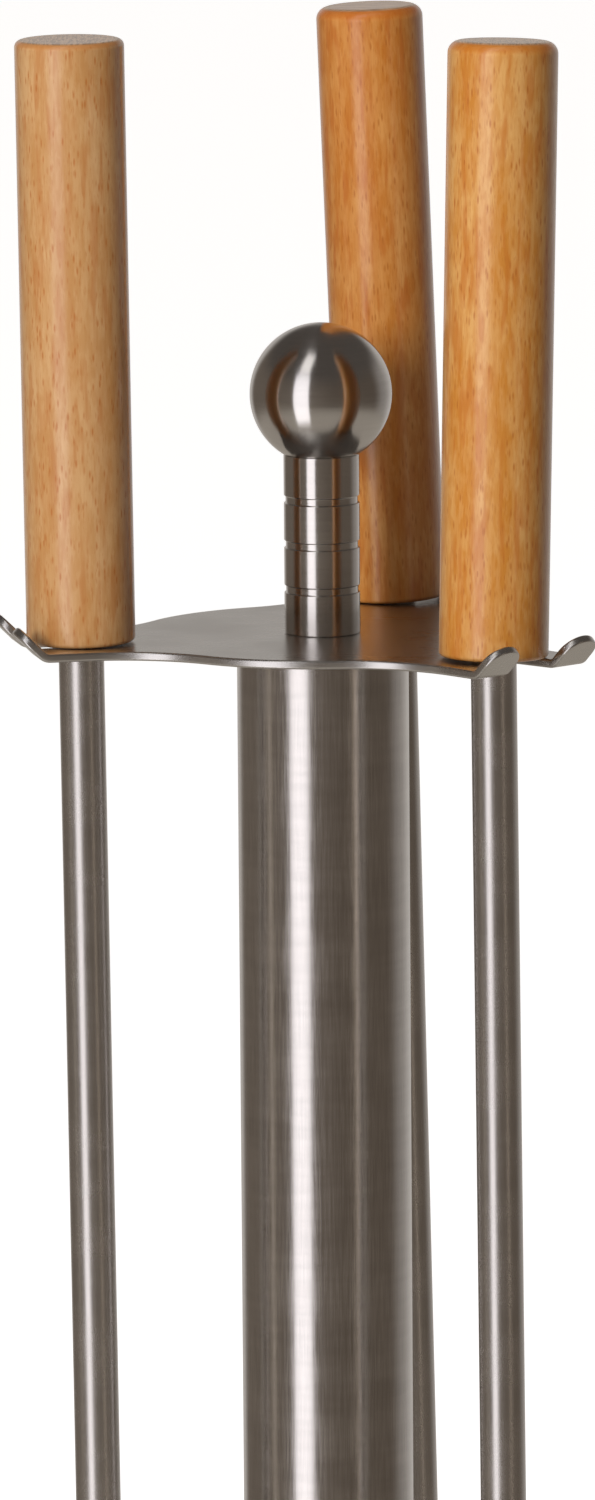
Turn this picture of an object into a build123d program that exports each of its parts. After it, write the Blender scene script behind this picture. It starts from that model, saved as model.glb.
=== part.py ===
from build123d import *
from math import atan, cos, hypot, radians, sin, sqrt, tan
import os

os.makedirs("parts", exist_ok=True)

# Fireplace tool set: a weighted round base, one steel column, a three-lobed hanger plate with a
# neck and ball knob on it, and three tools that hang by their handles in the plate's open slots.
# Millimetres, +Z up. The origin is the middle of the pad's underside, on the floor.

# ------------------------------------------------------------------ driving sizes: the stand

hanger_height = 500.0  # floor to the hanger plate's top face
part_gap = 0.1  # radial gap round pieces that are pushed into one another
thread_gap = 0.05  # radial gap round screwed pieces

pad_diameter = 214.0
pad_thickness = 2.5

ballast_diameter = 222.0
ballast_thickness = 16.0
ballast_edge_round = 4.0
nut_recess_diameter = 30.0
nut_recess_depth = 11.0

cover_sheet = 1.2
cover_side_gap = 0.8
cover_edge_round = 4.0
cover_skirt_lift = 1.0  # from the ballast's underside up to the skirt's lower edge

column_diameter = 48.3
column_wall = 1.5
plug_thickness = 12.0
plug_edge_break = 0.8

tie_rod_diameter = 8.0
tie_rod_stick_out = 1.5  # below the nut
tie_rod_in_neck = 20.0
tie_rod_hole_gap = 0.25

washer_diameter = 24.0
washer_thickness = 2.0
nut_across_flats = 13.0
nut_height = 6.5

index_pin_diameter = 3.0
index_pin_radius = 7.5  # from the column's axis, so that the neck covers it
index_pin_depth = 8.0  # into the upper plug
index_pin_recess = 0.3  # below the plate's top face

# ------------------------------------------------------------------ driving sizes: the hanger plate

plate_thickness = 2.5
hub_inset = 14.8  # of the hub's edge inside the circle that the tools hang on
lobe_count = 3
first_lobe_angle = 73.0
tool_circle_radius = 69.3
lobe_root_fillet = 40.0

slot_side_gap = 0.95  # between a rod and its slot, each side
ear_offset = 14.7  # from the lobe's middle line to the ear's middle line
ear_width = 12.1
ear_clearance = 0.24  # between a handle's side and the start of the ear's bend
ear_bend_angle = 45.0
ear_bend_radius = 2.0  # inside the bend
ear_straight = 3.2  # flat length between the bend and the round end

# ------------------------------------------------------------------ driving sizes: neck and ball

neck_diameter = 21.3
neck_length = 50.6
neck_edge_break = 0.4
groove_count = 3
groove_width = 2.0
groove_depth = 0.5
ball_diameter = 40.0
ball_stud_length = 26.0
blind_hole_spare = 2.0  # a blind hole runs this far past the piece in it

# ------------------------------------------------------------------ driving sizes: the tools

handle_diameter = 30.5
handle_foot_round = 1.2
handle_rest_gap = 0.15  # under the lowest point of a handle that leans
rod_diameter = 12.7
rod_wall = 1.2
rod_in_handle = 32.0
rod_plug_length = 14.0
screw_diameter = 6.0
screw_in_plug = 12.0
screw_in_wood = 40.0

poker_rod_reach = 350.0  # below the hanger plate's top face
poker_tip_length = 116.0
poker_point_length = 50.0
poker_point_radius = 1.5
hook_bar_diameter = 8.0
hook_height = 62.0  # of the hook's root, above the poker's point
hook_root_reach = 14.0  # straight part, out from the poker's axis
hook_root_depth = 5.0  # past the axis, in the cross hole
hook_bend_radius = 16.0
hook_bend_angle = 75.0
hook_point_length = 13.0
hook_point_taper = 12.0

shovel_rod_reach = 285.0
socket_wall = 2.05
socket_overlap = 23.0  # of the socket over the rod
socket_floor = 8.0
socket_taper_length = 25.0
tongue_width = 22.0
tongue_thickness = 4.0
tongue_length = 77.0
socket_pin_diameter = 4.0
socket_pin_height = 12.0  # above the rod's lower end
pan_top_drop = 50.0  # from the rod's lower end down to the pan's back wall
pan_length = 130.0
pan_back_width = 100.0
pan_mouth_width = 112.0
pan_back_depth = 24.0
pan_mouth_depth = 8.0
pan_sheet = 1.5
pan_corner_round = 14.0
pan_floor_round = 5.0
rivet_diameter = 5.0
rivet_head_diameter = 9.0
rivet_head_height = 1.8
rivet_first_drop = 12.0  # below the pan's back wall
rivet_spacing = 30.0
rivet_count = 2

brush_rod_reach = 330.0
cap_diameter = 50.0
cap_height = 26.0
cap_sheet = 1.5
cap_edge_round = 5.0
core_height = 17.0
bristle_gap = 0.8  # between the bristles and the cap's skirt
bristle_length = 116.0
bristle_spread_diameter = 66.0
brush_screw_in_core = 12.0

# Each tool leans a little in its slot. Leans are in degrees, towards +X and towards +Y at the top;
# the handle is bored slightly out of line with its length, so it has a lean of its own.
# facing is the direction that the working end faces, in degrees from +X.
tools = {
    "shovel": dict(lobe=1, reach=shovel_rod_reach, rod_lean=(-0.5, -1.0), handle_lean=(-0.5, -1.0),
                   facing=180.0, handle_length=168.7, top_round=2.0),
    "poker": dict(lobe=2, reach=poker_rod_reach, rod_lean=(-0.4, 1.0), handle_lean=(1.15, 1.0),
                  facing=0.0, handle_length=170.0, top_round=3.5),
    "brush": dict(lobe=0, reach=brush_rod_reach, rod_lean=(-1.1, -1.0), handle_lean=(-2.0, -1.0),
                  facing=90.0, handle_length=170.4, top_round=3.5),
}

# ------------------------------------------------------------------ sizes that follow

ballast_bottom = pad_thickness
ballast_top = ballast_bottom + ballast_thickness
cover_top = ballast_top + cover_sheet
cover_radius = ballast_diameter / 2 + cover_side_gap + cover_sheet
plate_bottom = hanger_height - plate_thickness
neck_top = hanger_height + neck_length
neck_radius = neck_diameter / 2
ball_radius = ball_diameter / 2
ball_centre = neck_top + sqrt(ball_radius ** 2 - neck_radius ** 2)
column_inner_radius = column_diameter / 2 - column_wall
tie_rod_radius = tie_rod_diameter / 2
tie_rod_hole_radius = tie_rod_radius + tie_rod_hole_gap
washer_bottom = ballast_bottom + nut_recess_depth - washer_thickness
nut_bottom = washer_bottom - nut_height
rod_radius = rod_diameter / 2
rod_inner_radius = rod_radius - rod_wall
screw_radius = screw_diameter / 2
slot_seat_radius = rod_radius + slot_side_gap
lobe_half_width = ear_offset + ear_width / 2
mouth_half_width = ear_offset - ear_width / 2
ear_bend_distance = sqrt(handle_diameter ** 2 / 4 - mouth_half_width ** 2) + ear_clearance
hub_radius = tool_circle_radius - hub_inset
socket_diameter = rod_diameter + 2 * (part_gap + socket_wall)
bend_line = tool_circle_radius + ear_bend_distance
dome_radius = (rivet_head_diameter ** 2 / 4 + rivet_head_height ** 2) / (2 * rivet_head_height)


def finish(piece: BuildPart, label: str) -> None:
    """Label a finished piece and write it as its own STEP file."""
    piece.part.label = label
    export_step(piece.part, f"parts/{label}.step")


def upright(plane: Plane) -> Plane:
    """The plane that holds the given plane's x and z directions, for a half outline to be turned."""
    return Plane(origin=plane.origin, x_dir=plane.x_dir, z_dir=-plane.y_dir)


def half_outline(plane: Plane, points: list) -> Sketch:
    """A closed half outline of (radius, height) points that stands on the plane's z axis."""
    with BuildSketch(upright(plane)) as outline:
        with BuildLine():
            Polyline(*points, close=True)
        make_face()
    return outline.sketch


def spindle(plane: Plane) -> Axis:
    """The axis that a plane's z direction makes through its origin."""
    return Axis(plane.origin, plane.z_dir)


def turned(label: str, plane: Plane, points: list) -> None:
    """Make and write a piece that is one half outline turned about the plane's z axis."""
    with BuildPart() as piece:
        revolve(half_outline(plane, points), axis=spindle(plane))
    finish(piece, label)


def tube_points(inner: float, outer: float, low: float, high: float) -> list:
    """The half outline of a ring or, with an inner radius of zero, of a plain round bar."""
    return [(inner, low), (outer, low), (outer, high), (inner, high)]


def leaning(origin: Vector, lean: tuple, facing: float) -> Plane:
    """A plane at origin whose z axis leans by (x, y) degrees and whose x axis faces the given way."""
    up = Vector(tan(radians(lean[0])), tan(radians(lean[1])), 1).normalized()
    ahead = Vector(cos(radians(facing)), sin(radians(facing)), 0)
    ahead = (ahead - up * ahead.dot(up)).normalized()
    return Plane(origin=origin, x_dir=ahead, z_dir=up)


def lobe_angle(lobe: int) -> float:
    """The plan direction of a lobe of the hanger plate, in degrees from +X."""
    return first_lobe_angle + lobe * 360 / lobe_count


# ------------------------------------------------------------------ base

with BuildPart() as floor_pad:
    with BuildSketch():
        Circle(pad_diameter / 2)
    extrude(amount=pad_thickness)
finish(floor_pad, "floor_pad")

with BuildPart() as base_ballast:
    with BuildSketch(Plane.XY.offset(ballast_bottom)):
        Circle(ballast_diameter / 2)
    extrude(amount=ballast_thickness)
    fillet(base_ballast.edges().group_by(Axis.Z)[-1], ballast_edge_round)
    with BuildSketch(Plane.XY.offset(ballast_bottom)):
        Circle(nut_recess_diameter / 2)
    extrude(amount=nut_recess_depth, mode=Mode.SUBTRACT)
    with BuildSketch(Plane.XY.offset(ballast_bottom)):
        Circle(tie_rod_hole_radius)
    extrude(amount=ballast_thickness, mode=Mode.SUBTRACT)
finish(base_ballast, "base_ballast")

# A spun sheet cover drops over the ballast and carries the column.
with BuildPart() as base_cover:
    with BuildSketch(Plane.XY.offset(ballast_bottom + cover_skirt_lift)):
        Circle(cover_radius)
    extrude(amount=cover_top - ballast_bottom - cover_skirt_lift)
    fillet(base_cover.edges().group_by(Axis.Z)[-1], cover_edge_round)
    offset(amount=-cover_sheet, openings=base_cover.faces().sort_by(Axis.Z)[0])
    with BuildSketch(Plane.XY.offset(ballast_top)):
        Circle(tie_rod_hole_radius)
    extrude(amount=cover_sheet, mode=Mode.SUBTRACT)
finish(base_cover, "base_cover")

turned("base_washer", Plane.XY,
       tube_points(tie_rod_hole_radius, washer_diameter / 2, washer_bottom,
                   washer_bottom + washer_thickness))

with BuildPart() as base_nut:
    with BuildSketch(Plane.XY.offset(nut_bottom)):
        RegularPolygon(nut_across_flats / 2, 6, major_radius=False)
        Circle(tie_rod_radius + thread_gap, mode=Mode.SUBTRACT)
    extrude(amount=nut_height)
finish(base_nut, "base_nut")

with BuildPart() as tie_rod:
    with BuildSketch(Plane.XY.offset(nut_bottom - tie_rod_stick_out)):
        Circle(tie_rod_radius)
    extrude(amount=hanger_height + tie_rod_in_neck - nut_bottom + tie_rod_stick_out)
    chamfer(tie_rod.edges().filter_by(GeomType.CIRCLE), plug_edge_break)
finish(tie_rod, "tie_rod")

# ------------------------------------------------------------------ column

turned("column_tube", Plane.XY,
       tube_points(column_inner_radius, column_diameter / 2, cover_top, plate_bottom))

for label, low in (("column_lower_plug", cover_top), ("column_upper_plug", plate_bottom - plug_thickness)):
    with BuildPart() as plug:
        with BuildSketch(Plane.XY.offset(low)):
            Circle(column_inner_radius - part_gap)
        extrude(amount=plug_thickness)
        chamfer(plug.edges().filter_by(GeomType.CIRCLE), plug_edge_break)
        with BuildSketch(Plane.XY.offset(low)):
            Circle(tie_rod_hole_radius)
        extrude(amount=plug_thickness, mode=Mode.SUBTRACT)
        if label == "column_upper_plug":
            with BuildSketch(Plane.XY.offset(plate_bottom)):
                with Locations((index_pin_radius, 0)):
                    Circle(index_pin_diameter / 2 + thread_gap)
            extrude(amount=-index_pin_depth, mode=Mode.SUBTRACT)
    finish(plug, label)

with BuildPart() as index_pin:
    with BuildSketch(Plane.XY.offset(plate_bottom - index_pin_depth)):
        with Locations((index_pin_radius, 0)):
            Circle(index_pin_diameter / 2)
    extrude(amount=index_pin_depth + plate_thickness - index_pin_recess)
finish(index_pin, "index_pin")

# ------------------------------------------------------------------ hanger plate

# One ear, made flat side up at the origin: its bend starts at x = 0 and it rises towards +X.
bend = radians(ear_bend_angle)
bend_middle_radius = ear_bend_radius + plate_thickness / 2
leg_plane = Plane((bend_middle_radius * sin(bend), 0, bend_middle_radius * (1 - cos(bend))),
                  (0, -1, 0), (-sin(bend), 0, cos(bend)))

with BuildPart() as ear:
    with BuildSketch(Plane.YZ):
        Rectangle(ear_width, plate_thickness)
    revolve(axis=Axis((0, 0, bend_middle_radius), (0, -1, 0)), revolution_arc=ear_bend_angle)
    with BuildSketch(leg_plane):
        Rectangle(ear_width, ear_straight, align=(Align.CENTER, Align.MIN))
        with Locations((0, ear_straight)):
            Circle(ear_width / 2)
        Rectangle(ear_width, ear_straight + ear_width / 2, align=(Align.CENTER, Align.MIN),
                  mode=Mode.INTERSECT)
    extrude(amount=plate_thickness / 2, both=True)

with BuildPart() as hanger_plate:
    with BuildSketch(Plane.XY.offset(plate_bottom)) as blank:
        Circle(hub_radius)
        for lobe in range(lobe_count):
            with Locations(Location((0, 0), lobe_angle(lobe))):
                Rectangle(bend_line, 2 * lobe_half_width, align=(Align.MIN, Align.CENTER))
        roots = [v for v in blank.vertices() if abs(hypot(v.X, v.Y) - hub_radius) < part_gap]
        fillet(roots, lobe_root_fillet)
        for lobe in range(lobe_count):
            with Locations(Location((0, 0), lobe_angle(lobe))):
                with Locations((tool_circle_radius, 0)):
                    Circle(slot_seat_radius, mode=Mode.SUBTRACT)
                    Polygon((0, -slot_seat_radius), (ear_bend_distance, -mouth_half_width),
                            (ear_bend_distance, mouth_half_width), (0, slot_seat_radius),
                            align=None, mode=Mode.SUBTRACT)
    extrude(amount=plate_thickness)
    for lobe in range(lobe_count):
        turn_to_lobe = Location((0, 0, hanger_height - plate_thickness / 2), (0, 0, lobe_angle(lobe)))
        with Locations(turn_to_lobe):
            with Locations((bend_line, ear_offset, 0), (bend_line, -ear_offset, 0)):
                add(ear.part)
    with BuildSketch(Plane.XY.offset(plate_bottom)):
        Circle(tie_rod_hole_radius)
        with Locations((index_pin_radius, 0)):
            Circle(index_pin_diameter / 2 + thread_gap)
    extrude(amount=plate_thickness, mode=Mode.SUBTRACT)
finish(hanger_plate, "hanger_plate")

# ------------------------------------------------------------------ neck and ball

with BuildPart() as neck:
    with BuildSketch(Plane.XY.offset(hanger_height)):
        Circle(neck_radius)
    extrude(amount=neck_length)
    chamfer(neck.edges().filter_by(GeomType.CIRCLE), neck_edge_break)
    for groove in range(1, groove_count + 1):
        middle = hanger_height + neck_length * groove / (groove_count + 1)
        with BuildSketch(Plane.XY.offset(middle - groove_width / 2)):
            Circle(neck_radius + part_gap)
            Circle(neck_radius - groove_depth, mode=Mode.SUBTRACT)
        extrude(amount=groove_width, mode=Mode.SUBTRACT)
    with BuildSketch(Plane.XY.offset(hanger_height)):
        Circle(tie_rod_radius + thread_gap)
    extrude(amount=tie_rod_in_neck + blind_hole_spare, mode=Mode.SUBTRACT)
    with BuildSketch(Plane.XY.offset(neck_top)):
        Circle(tie_rod_radius + thread_gap)
    extrude(amount=-ball_stud_length / 2 - blind_hole_spare, mode=Mode.SUBTRACT)
finish(neck, "neck")

with BuildPart() as ball_stud:
    with BuildSketch(Plane.XY.offset(neck_top - ball_stud_length / 2)):
        Circle(tie_rod_radius)
    extrude(amount=ball_stud_length)
    chamfer(ball_stud.edges().filter_by(GeomType.CIRCLE), plug_edge_break)
finish(ball_stud, "ball_stud")

with BuildPart() as ball_knob:
    with BuildSketch(Plane.XZ):
        with Locations((0, ball_centre)):
            Circle(ball_radius)
        with Locations((0, neck_top)):
            Rectangle(ball_diameter, ball_diameter, align=(Align.CENTER, Align.MAX), mode=Mode.SUBTRACT)
        Rectangle(ball_diameter, 2 * (ball_centre + ball_diameter), align=(Align.MAX, Align.CENTER),
                  mode=Mode.SUBTRACT)
    revolve(axis=Axis.Z)
    with BuildSketch(Plane.XY.offset(neck_top)):
        Circle(tie_rod_radius + thread_gap)
    extrude(amount=ball_stud_length / 2 + blind_hole_spare, mode=Mode.SUBTRACT)
finish(ball_knob, "ball_knob")

# ------------------------------------------------------------------ where the tools hang

handle_planes = {}
rod_planes = {}
rod_ends = {}
for name, tool in tools.items():
    seat = Vector(tool_circle_radius, 0, 0).rotate(Axis.Z, lobe_angle(tool["lobe"]))
    tilt = atan(hypot(tan(radians(tool["handle_lean"][0])), tan(radians(tool["handle_lean"][1]))))
    lift = (handle_diameter / 2 - handle_foot_round) * sin(tilt) + handle_rest_gap
    seat += Vector(0, 0, hanger_height + lift)
    handle_planes[name] = leaning(seat, tool["handle_lean"], tool["facing"])
    rod_planes[name] = leaning(seat, tool["rod_lean"], tool["facing"])
    rod_ends[name] = rod_planes[name].offset(-tool["reach"])


def crossways(plane: Plane, level: float) -> Plane:
    """A plane on the tool's axis at the given level that looks the way the tool faces."""
    return Plane(plane.offset(level).origin, plane.y_dir, plane.x_dir)


poker_end = rod_ends["poker"]
shovel_end = rod_ends["shovel"]
brush_end = rod_ends["brush"]
socket_pin_plane = Plane(shovel_end.offset(socket_pin_height).origin, shovel_end.x_dir, shovel_end.y_dir)

# ------------------------------------------------------------------ handles and rods

for name, tool in tools.items():
    handle_plane = handle_planes[name]
    rod_plane = rod_planes[name]
    along = spindle(handle_plane)

    # A plain turned wooden handle, bored from below for the rod and its screw.
    with BuildPart() as handle:
        with BuildSketch(handle_plane):
            Circle(handle_diameter / 2)
        extrude(amount=tool["handle_length"])
        fillet(handle.edges().filter_by(GeomType.CIRCLE).sort_by(along)[-1], tool["top_round"])
        fillet(handle.edges().filter_by(GeomType.CIRCLE).sort_by(along)[0], handle_foot_round)
        with BuildSketch(rod_plane.offset(-handle_diameter)):
            Circle(rod_radius + part_gap)
        extrude(amount=handle_diameter + rod_in_handle + part_gap, mode=Mode.SUBTRACT)
        with BuildSketch(rod_plane.offset(rod_in_handle)):
            Circle(screw_radius + thread_gap)
        extrude(amount=screw_in_wood + blind_hole_spare, mode=Mode.SUBTRACT)
    finish(handle, f"{name}_handle")

    with BuildPart() as rod:
        tube = tube_points(rod_inner_radius, rod_radius, -tool["reach"], rod_in_handle)
        revolve(half_outline(rod_plane, tube), axis=spindle(rod_plane))
        if name == "shovel":
            with BuildSketch(socket_pin_plane):
                Circle(socket_pin_diameter / 2 + thread_gap)
            extrude(amount=socket_diameter, both=True, mode=Mode.SUBTRACT)
    finish(rod, f"{name}_rod")

    turned(f"{name}_upper_plug", rod_plane,
           tube_points(screw_radius + thread_gap, rod_inner_radius - thread_gap,
                       rod_in_handle - rod_plug_length, rod_in_handle))

    with BuildPart() as handle_screw:
        with BuildSketch(rod_plane.offset(rod_in_handle - screw_in_plug)):
            Circle(screw_radius)
        extrude(amount=screw_in_plug + screw_in_wood)
        chamfer(handle_screw.edges().filter_by(GeomType.CIRCLE).sort_by(Axis.Z)[-1], screw_radius / 2)
    finish(handle_screw, f"{name}_handle_screw")

for name in ("poker", "brush"):
    turned(f"{name}_lower_plug", rod_ends[name],
           tube_points(screw_radius + thread_gap, rod_inner_radius - thread_gap, 0, rod_plug_length))

# ------------------------------------------------------------------ poker

hook_level = hook_height - poker_tip_length
hook_root = crossways(poker_end, hook_level)

with BuildPart() as poker_tip:
    spear = [(0, screw_in_plug), (screw_radius, screw_in_plug), (screw_radius, 0), (rod_radius, 0),
             (rod_radius, poker_point_length - poker_tip_length),
             (poker_point_radius, poker_point_radius / 2 - poker_tip_length),
             (poker_point_radius / 2, -poker_tip_length), (0, -poker_tip_length)]
    revolve(half_outline(poker_end, spear), axis=spindle(poker_end))
    with BuildSketch(hook_root):
        Circle(hook_bar_diameter / 2 + thread_gap)
    extrude(amount=rod_diameter, both=True, mode=Mode.SUBTRACT)
finish(poker_tip, "poker_tip")

# The hook is a round bar set in a cross hole, bent up and back towards the handle, with a point.
with BuildPart() as poker_hook:
    with BuildSketch(hook_root.offset(-hook_root_depth)):
        Circle(hook_bar_diameter / 2)
    extrude(amount=hook_root_depth + hook_root_reach)
    bend_start = hook_root.offset(hook_root_reach)
    bend_middle = bend_start.origin + poker_end.z_dir * hook_bend_radius
    with BuildSketch(bend_start):
        Circle(hook_bar_diameter / 2)
    revolve(axis=Axis(bend_middle, -poker_end.y_dir), revolution_arc=hook_bend_angle)
    swing = radians(hook_bend_angle)
    arm = poker_end.x_dir * sin(swing) - poker_end.z_dir * cos(swing)
    heading = poker_end.x_dir * cos(swing) + poker_end.z_dir * sin(swing)
    with BuildSketch(Plane(bend_middle + arm * hook_bend_radius, poker_end.y_dir, heading)):
        Circle(hook_bar_diameter / 2)
    extrude(amount=hook_point_length, taper=hook_point_taper)
finish(poker_hook, "poker_hook")

# ------------------------------------------------------------------ shovel

tongue_top = -socket_floor - socket_taper_length
pan_bottom = -pan_top_drop - pan_length
rivet_planes = [crossways(shovel_end, -pan_top_drop - rivet_first_drop - step * rivet_spacing)
                for step in range(rivet_count)]

with BuildPart() as shovel_socket:
    with BuildSketch(shovel_end.offset(-socket_floor)):
        Circle(socket_diameter / 2)
    extrude(amount=socket_floor + socket_overlap)
    with BuildSketch(shovel_end):
        Circle(rod_radius + part_gap)
    extrude(amount=socket_overlap, mode=Mode.SUBTRACT)
    with BuildSketch(shovel_end.offset(tongue_top)):
        Rectangle(tongue_thickness, tongue_width)
    with BuildSketch(shovel_end.offset(-socket_floor)):
        Circle(socket_diameter / 2)
    loft()
    with BuildSketch(shovel_end.offset(tongue_top - tongue_length)):
        Rectangle(tongue_thickness, tongue_width)
    extrude(amount=tongue_length)
    foot_edges = shovel_socket.edges().filter_by(Axis(shovel_end.origin, shovel_end.x_dir))
    fillet(foot_edges.group_by(Axis.Z)[0], tongue_width / 3)
    with BuildSketch(socket_pin_plane):
        Circle(socket_pin_diameter / 2 + thread_gap)
    extrude(amount=socket_diameter, both=True, mode=Mode.SUBTRACT)
    for plane in rivet_planes:
        with BuildSketch(plane):
            Circle(rivet_diameter / 2 + thread_gap)
        extrude(amount=tongue_thickness, both=True, mode=Mode.SUBTRACT)
finish(shovel_socket, "shovel_socket")

with BuildPart() as socket_pin:
    with BuildSketch(socket_pin_plane):
        Circle(socket_pin_diameter / 2)
    extrude(amount=socket_diameter / 2, both=True)
finish(socket_pin, "socket_pin")

# The pan is folded sheet: a floor against the tongue, a back wall, and two sides that get lower
# towards the open mouth. It is a wedge-shaped block left open at its front and at its mouth.
pan_floor = tongue_thickness / 2
with BuildPart() as shovel_pan:
    with BuildSketch(upright(shovel_end)):
        Polygon((pan_floor, pan_bottom), (pan_floor + pan_mouth_depth, pan_bottom),
                (pan_floor + pan_back_depth, -pan_top_drop), (pan_floor, -pan_top_drop), align=None)
    extrude(amount=pan_mouth_width / 2, both=True)
    with BuildSketch(crossways(shovel_end, 0).offset(pan_floor)):
        Polygon((-pan_mouth_width / 2, pan_bottom), (pan_mouth_width / 2, pan_bottom),
                (pan_back_width / 2, -pan_top_drop), (-pan_back_width / 2, -pan_top_drop), align=None)
    extrude(amount=pan_back_depth, mode=Mode.INTERSECT)
    outwards = Axis(shovel_end.origin, shovel_end.x_dir)
    upwards = spindle(shovel_end)
    fillet(shovel_pan.edges().filter_by(outwards).sort_by(upwards)[-2:], pan_corner_round)
    floor_edges = shovel_pan.faces().sort_by(outwards)[0].edges().sort_by(upwards)
    fillet(floor_edges[1:], pan_floor_round)
    front = shovel_pan.faces().sort_by(outwards)[-1]
    mouth = shovel_pan.faces().sort_by(upwards)[0]
    offset(amount=-pan_sheet, openings=[front, mouth])
    for plane in rivet_planes:
        with BuildSketch(plane):
            Circle(rivet_diameter / 2 + thread_gap)
        extrude(amount=pan_back_depth, both=True, mode=Mode.SUBTRACT)
finish(shovel_pan, "shovel_pan")

with BuildPart() as shovel_rivets:
    for plane in rivet_planes:
        low, high = -pan_floor, pan_floor + pan_sheet
        with BuildSketch(upright(plane)):
            with BuildLine():
                head = rivet_head_diameter / 2
                shank = rivet_diameter / 2
                Polyline((shank, high), (shank, low), (head, low))
                RadiusArc((head, low), (0, low - rivet_head_height), dome_radius)
                Line((0, low - rivet_head_height), (0, high + rivet_head_height))
                RadiusArc((0, high + rivet_head_height), (head, high), dome_radius)
                Line((head, high), (shank, high))
            make_face()
        revolve(axis=spindle(plane))
finish(shovel_rivets, "shovel_rivets")

# ------------------------------------------------------------------ brush

with BuildPart() as brush_cap:
    with BuildSketch(brush_end.offset(-cap_height)):
        Circle(cap_diameter / 2)
    extrude(amount=cap_height)
    top_to_bottom = spindle(brush_end)
    fillet(brush_cap.edges().filter_by(GeomType.CIRCLE).sort_by(top_to_bottom)[-1], cap_edge_round)
    offset(amount=-cap_sheet, openings=brush_cap.faces().sort_by(top_to_bottom)[0])
    with BuildSketch(brush_end.offset(-cap_sheet)):
        Circle(screw_radius + thread_gap)
    extrude(amount=cap_sheet, mode=Mode.SUBTRACT)
finish(brush_cap, "brush_cap")

with BuildPart() as brush_core:
    with BuildSketch(brush_end.offset(-cap_sheet - core_height)):
        Circle(cap_diameter / 2 - cap_sheet - part_gap)
    extrude(amount=core_height)
    fillet(brush_core.edges().filter_by(GeomType.CIRCLE).sort_by(top_to_bottom)[-1], cap_edge_round)
    with BuildSketch(brush_end.offset(-cap_sheet)):
        Circle(screw_radius + thread_gap)
    extrude(amount=-brush_screw_in_core - blind_hole_spare, mode=Mode.SUBTRACT)
finish(brush_core, "brush_core")

turned("brush_screw", brush_end,
       tube_points(0, screw_radius, -cap_sheet - brush_screw_in_core, screw_in_plug))

# The bristles are one closed bundle, straight inside the cap and spreading below it.
bristle_top = -cap_sheet - core_height
bristle_root = cap_diameter / 2 - cap_sheet - bristle_gap
turned("brush_bristles", brush_end,
       [(0, bristle_top), (bristle_root, bristle_top), (bristle_root, -cap_height),
        (bristle_spread_diameter / 2, bristle_top - bristle_length), (0, bristle_top - bristle_length)])
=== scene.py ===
"""The looks of a fireplace tool set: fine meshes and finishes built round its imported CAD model."""
import logging
from dataclasses import dataclass
from enum import Enum
from math import atan2, cos, pi, radians, sin, sqrt, tan
from random import Random

import bmesh
import bpy
from mathutils import Matrix, Vector


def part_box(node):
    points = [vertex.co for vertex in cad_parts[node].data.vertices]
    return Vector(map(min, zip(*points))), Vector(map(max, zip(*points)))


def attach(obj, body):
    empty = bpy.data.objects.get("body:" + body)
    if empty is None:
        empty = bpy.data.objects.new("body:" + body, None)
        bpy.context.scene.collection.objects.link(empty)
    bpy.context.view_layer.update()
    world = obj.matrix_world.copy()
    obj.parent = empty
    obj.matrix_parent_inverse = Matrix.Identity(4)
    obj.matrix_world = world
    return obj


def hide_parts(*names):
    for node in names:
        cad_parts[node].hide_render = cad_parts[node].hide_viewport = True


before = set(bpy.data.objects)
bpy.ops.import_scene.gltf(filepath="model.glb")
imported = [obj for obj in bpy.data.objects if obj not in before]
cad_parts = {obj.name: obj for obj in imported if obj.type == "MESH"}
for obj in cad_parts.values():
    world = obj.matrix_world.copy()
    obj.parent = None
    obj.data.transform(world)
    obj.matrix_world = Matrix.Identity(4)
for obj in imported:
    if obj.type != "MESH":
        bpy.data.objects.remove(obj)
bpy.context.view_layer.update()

log = logging.getLogger("fireplace_tools")

MM = 0.001  # metres in a millimetre
TINY = 1e-9  # a radius below this is a point
TIE_ROD_HOLE = 4.25  # radius in millimetres of the tie rod's hole in the cover and the plate
SMOOTH_LIMIT = radians(32)  # faces that meet at more than this angle keep a crisp edge

Point = tuple[float, float]
Triple = tuple[float, float, float]
Colour = Triple


class Body(Enum):
    """The CAD bodies that pieces ride on."""

    STAND = "stand"
    SHOVEL = "shovel"
    POKER = "poker"
    BRUSH = "brush"


class Slot(Enum):
    """The record's material slots, by name. Nothing in this script reads them; each new piece gets a
    material of its own.
    """

    BEECH = "varnished_beech"
    BRUSHED = "brushed_stainless"
    SATIN = "satin_steel"
    PLAIN = "plain_steel"
    RUBBER = "pad_rubber"
    FIBRE = "bristle_fibre"


class Brushing(Enum):
    """The way that the fine lines of a steel surface run, in the piece's own axes."""

    ALONG = "along"  # along Z, as on a drawn and polished tube
    AROUND = "around"  # round Z, as left by a lathe
    STRAIGHT = "straight"  # along X, as on a brushed sheet


# ---------------------------------------------------------------------- materials


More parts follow.
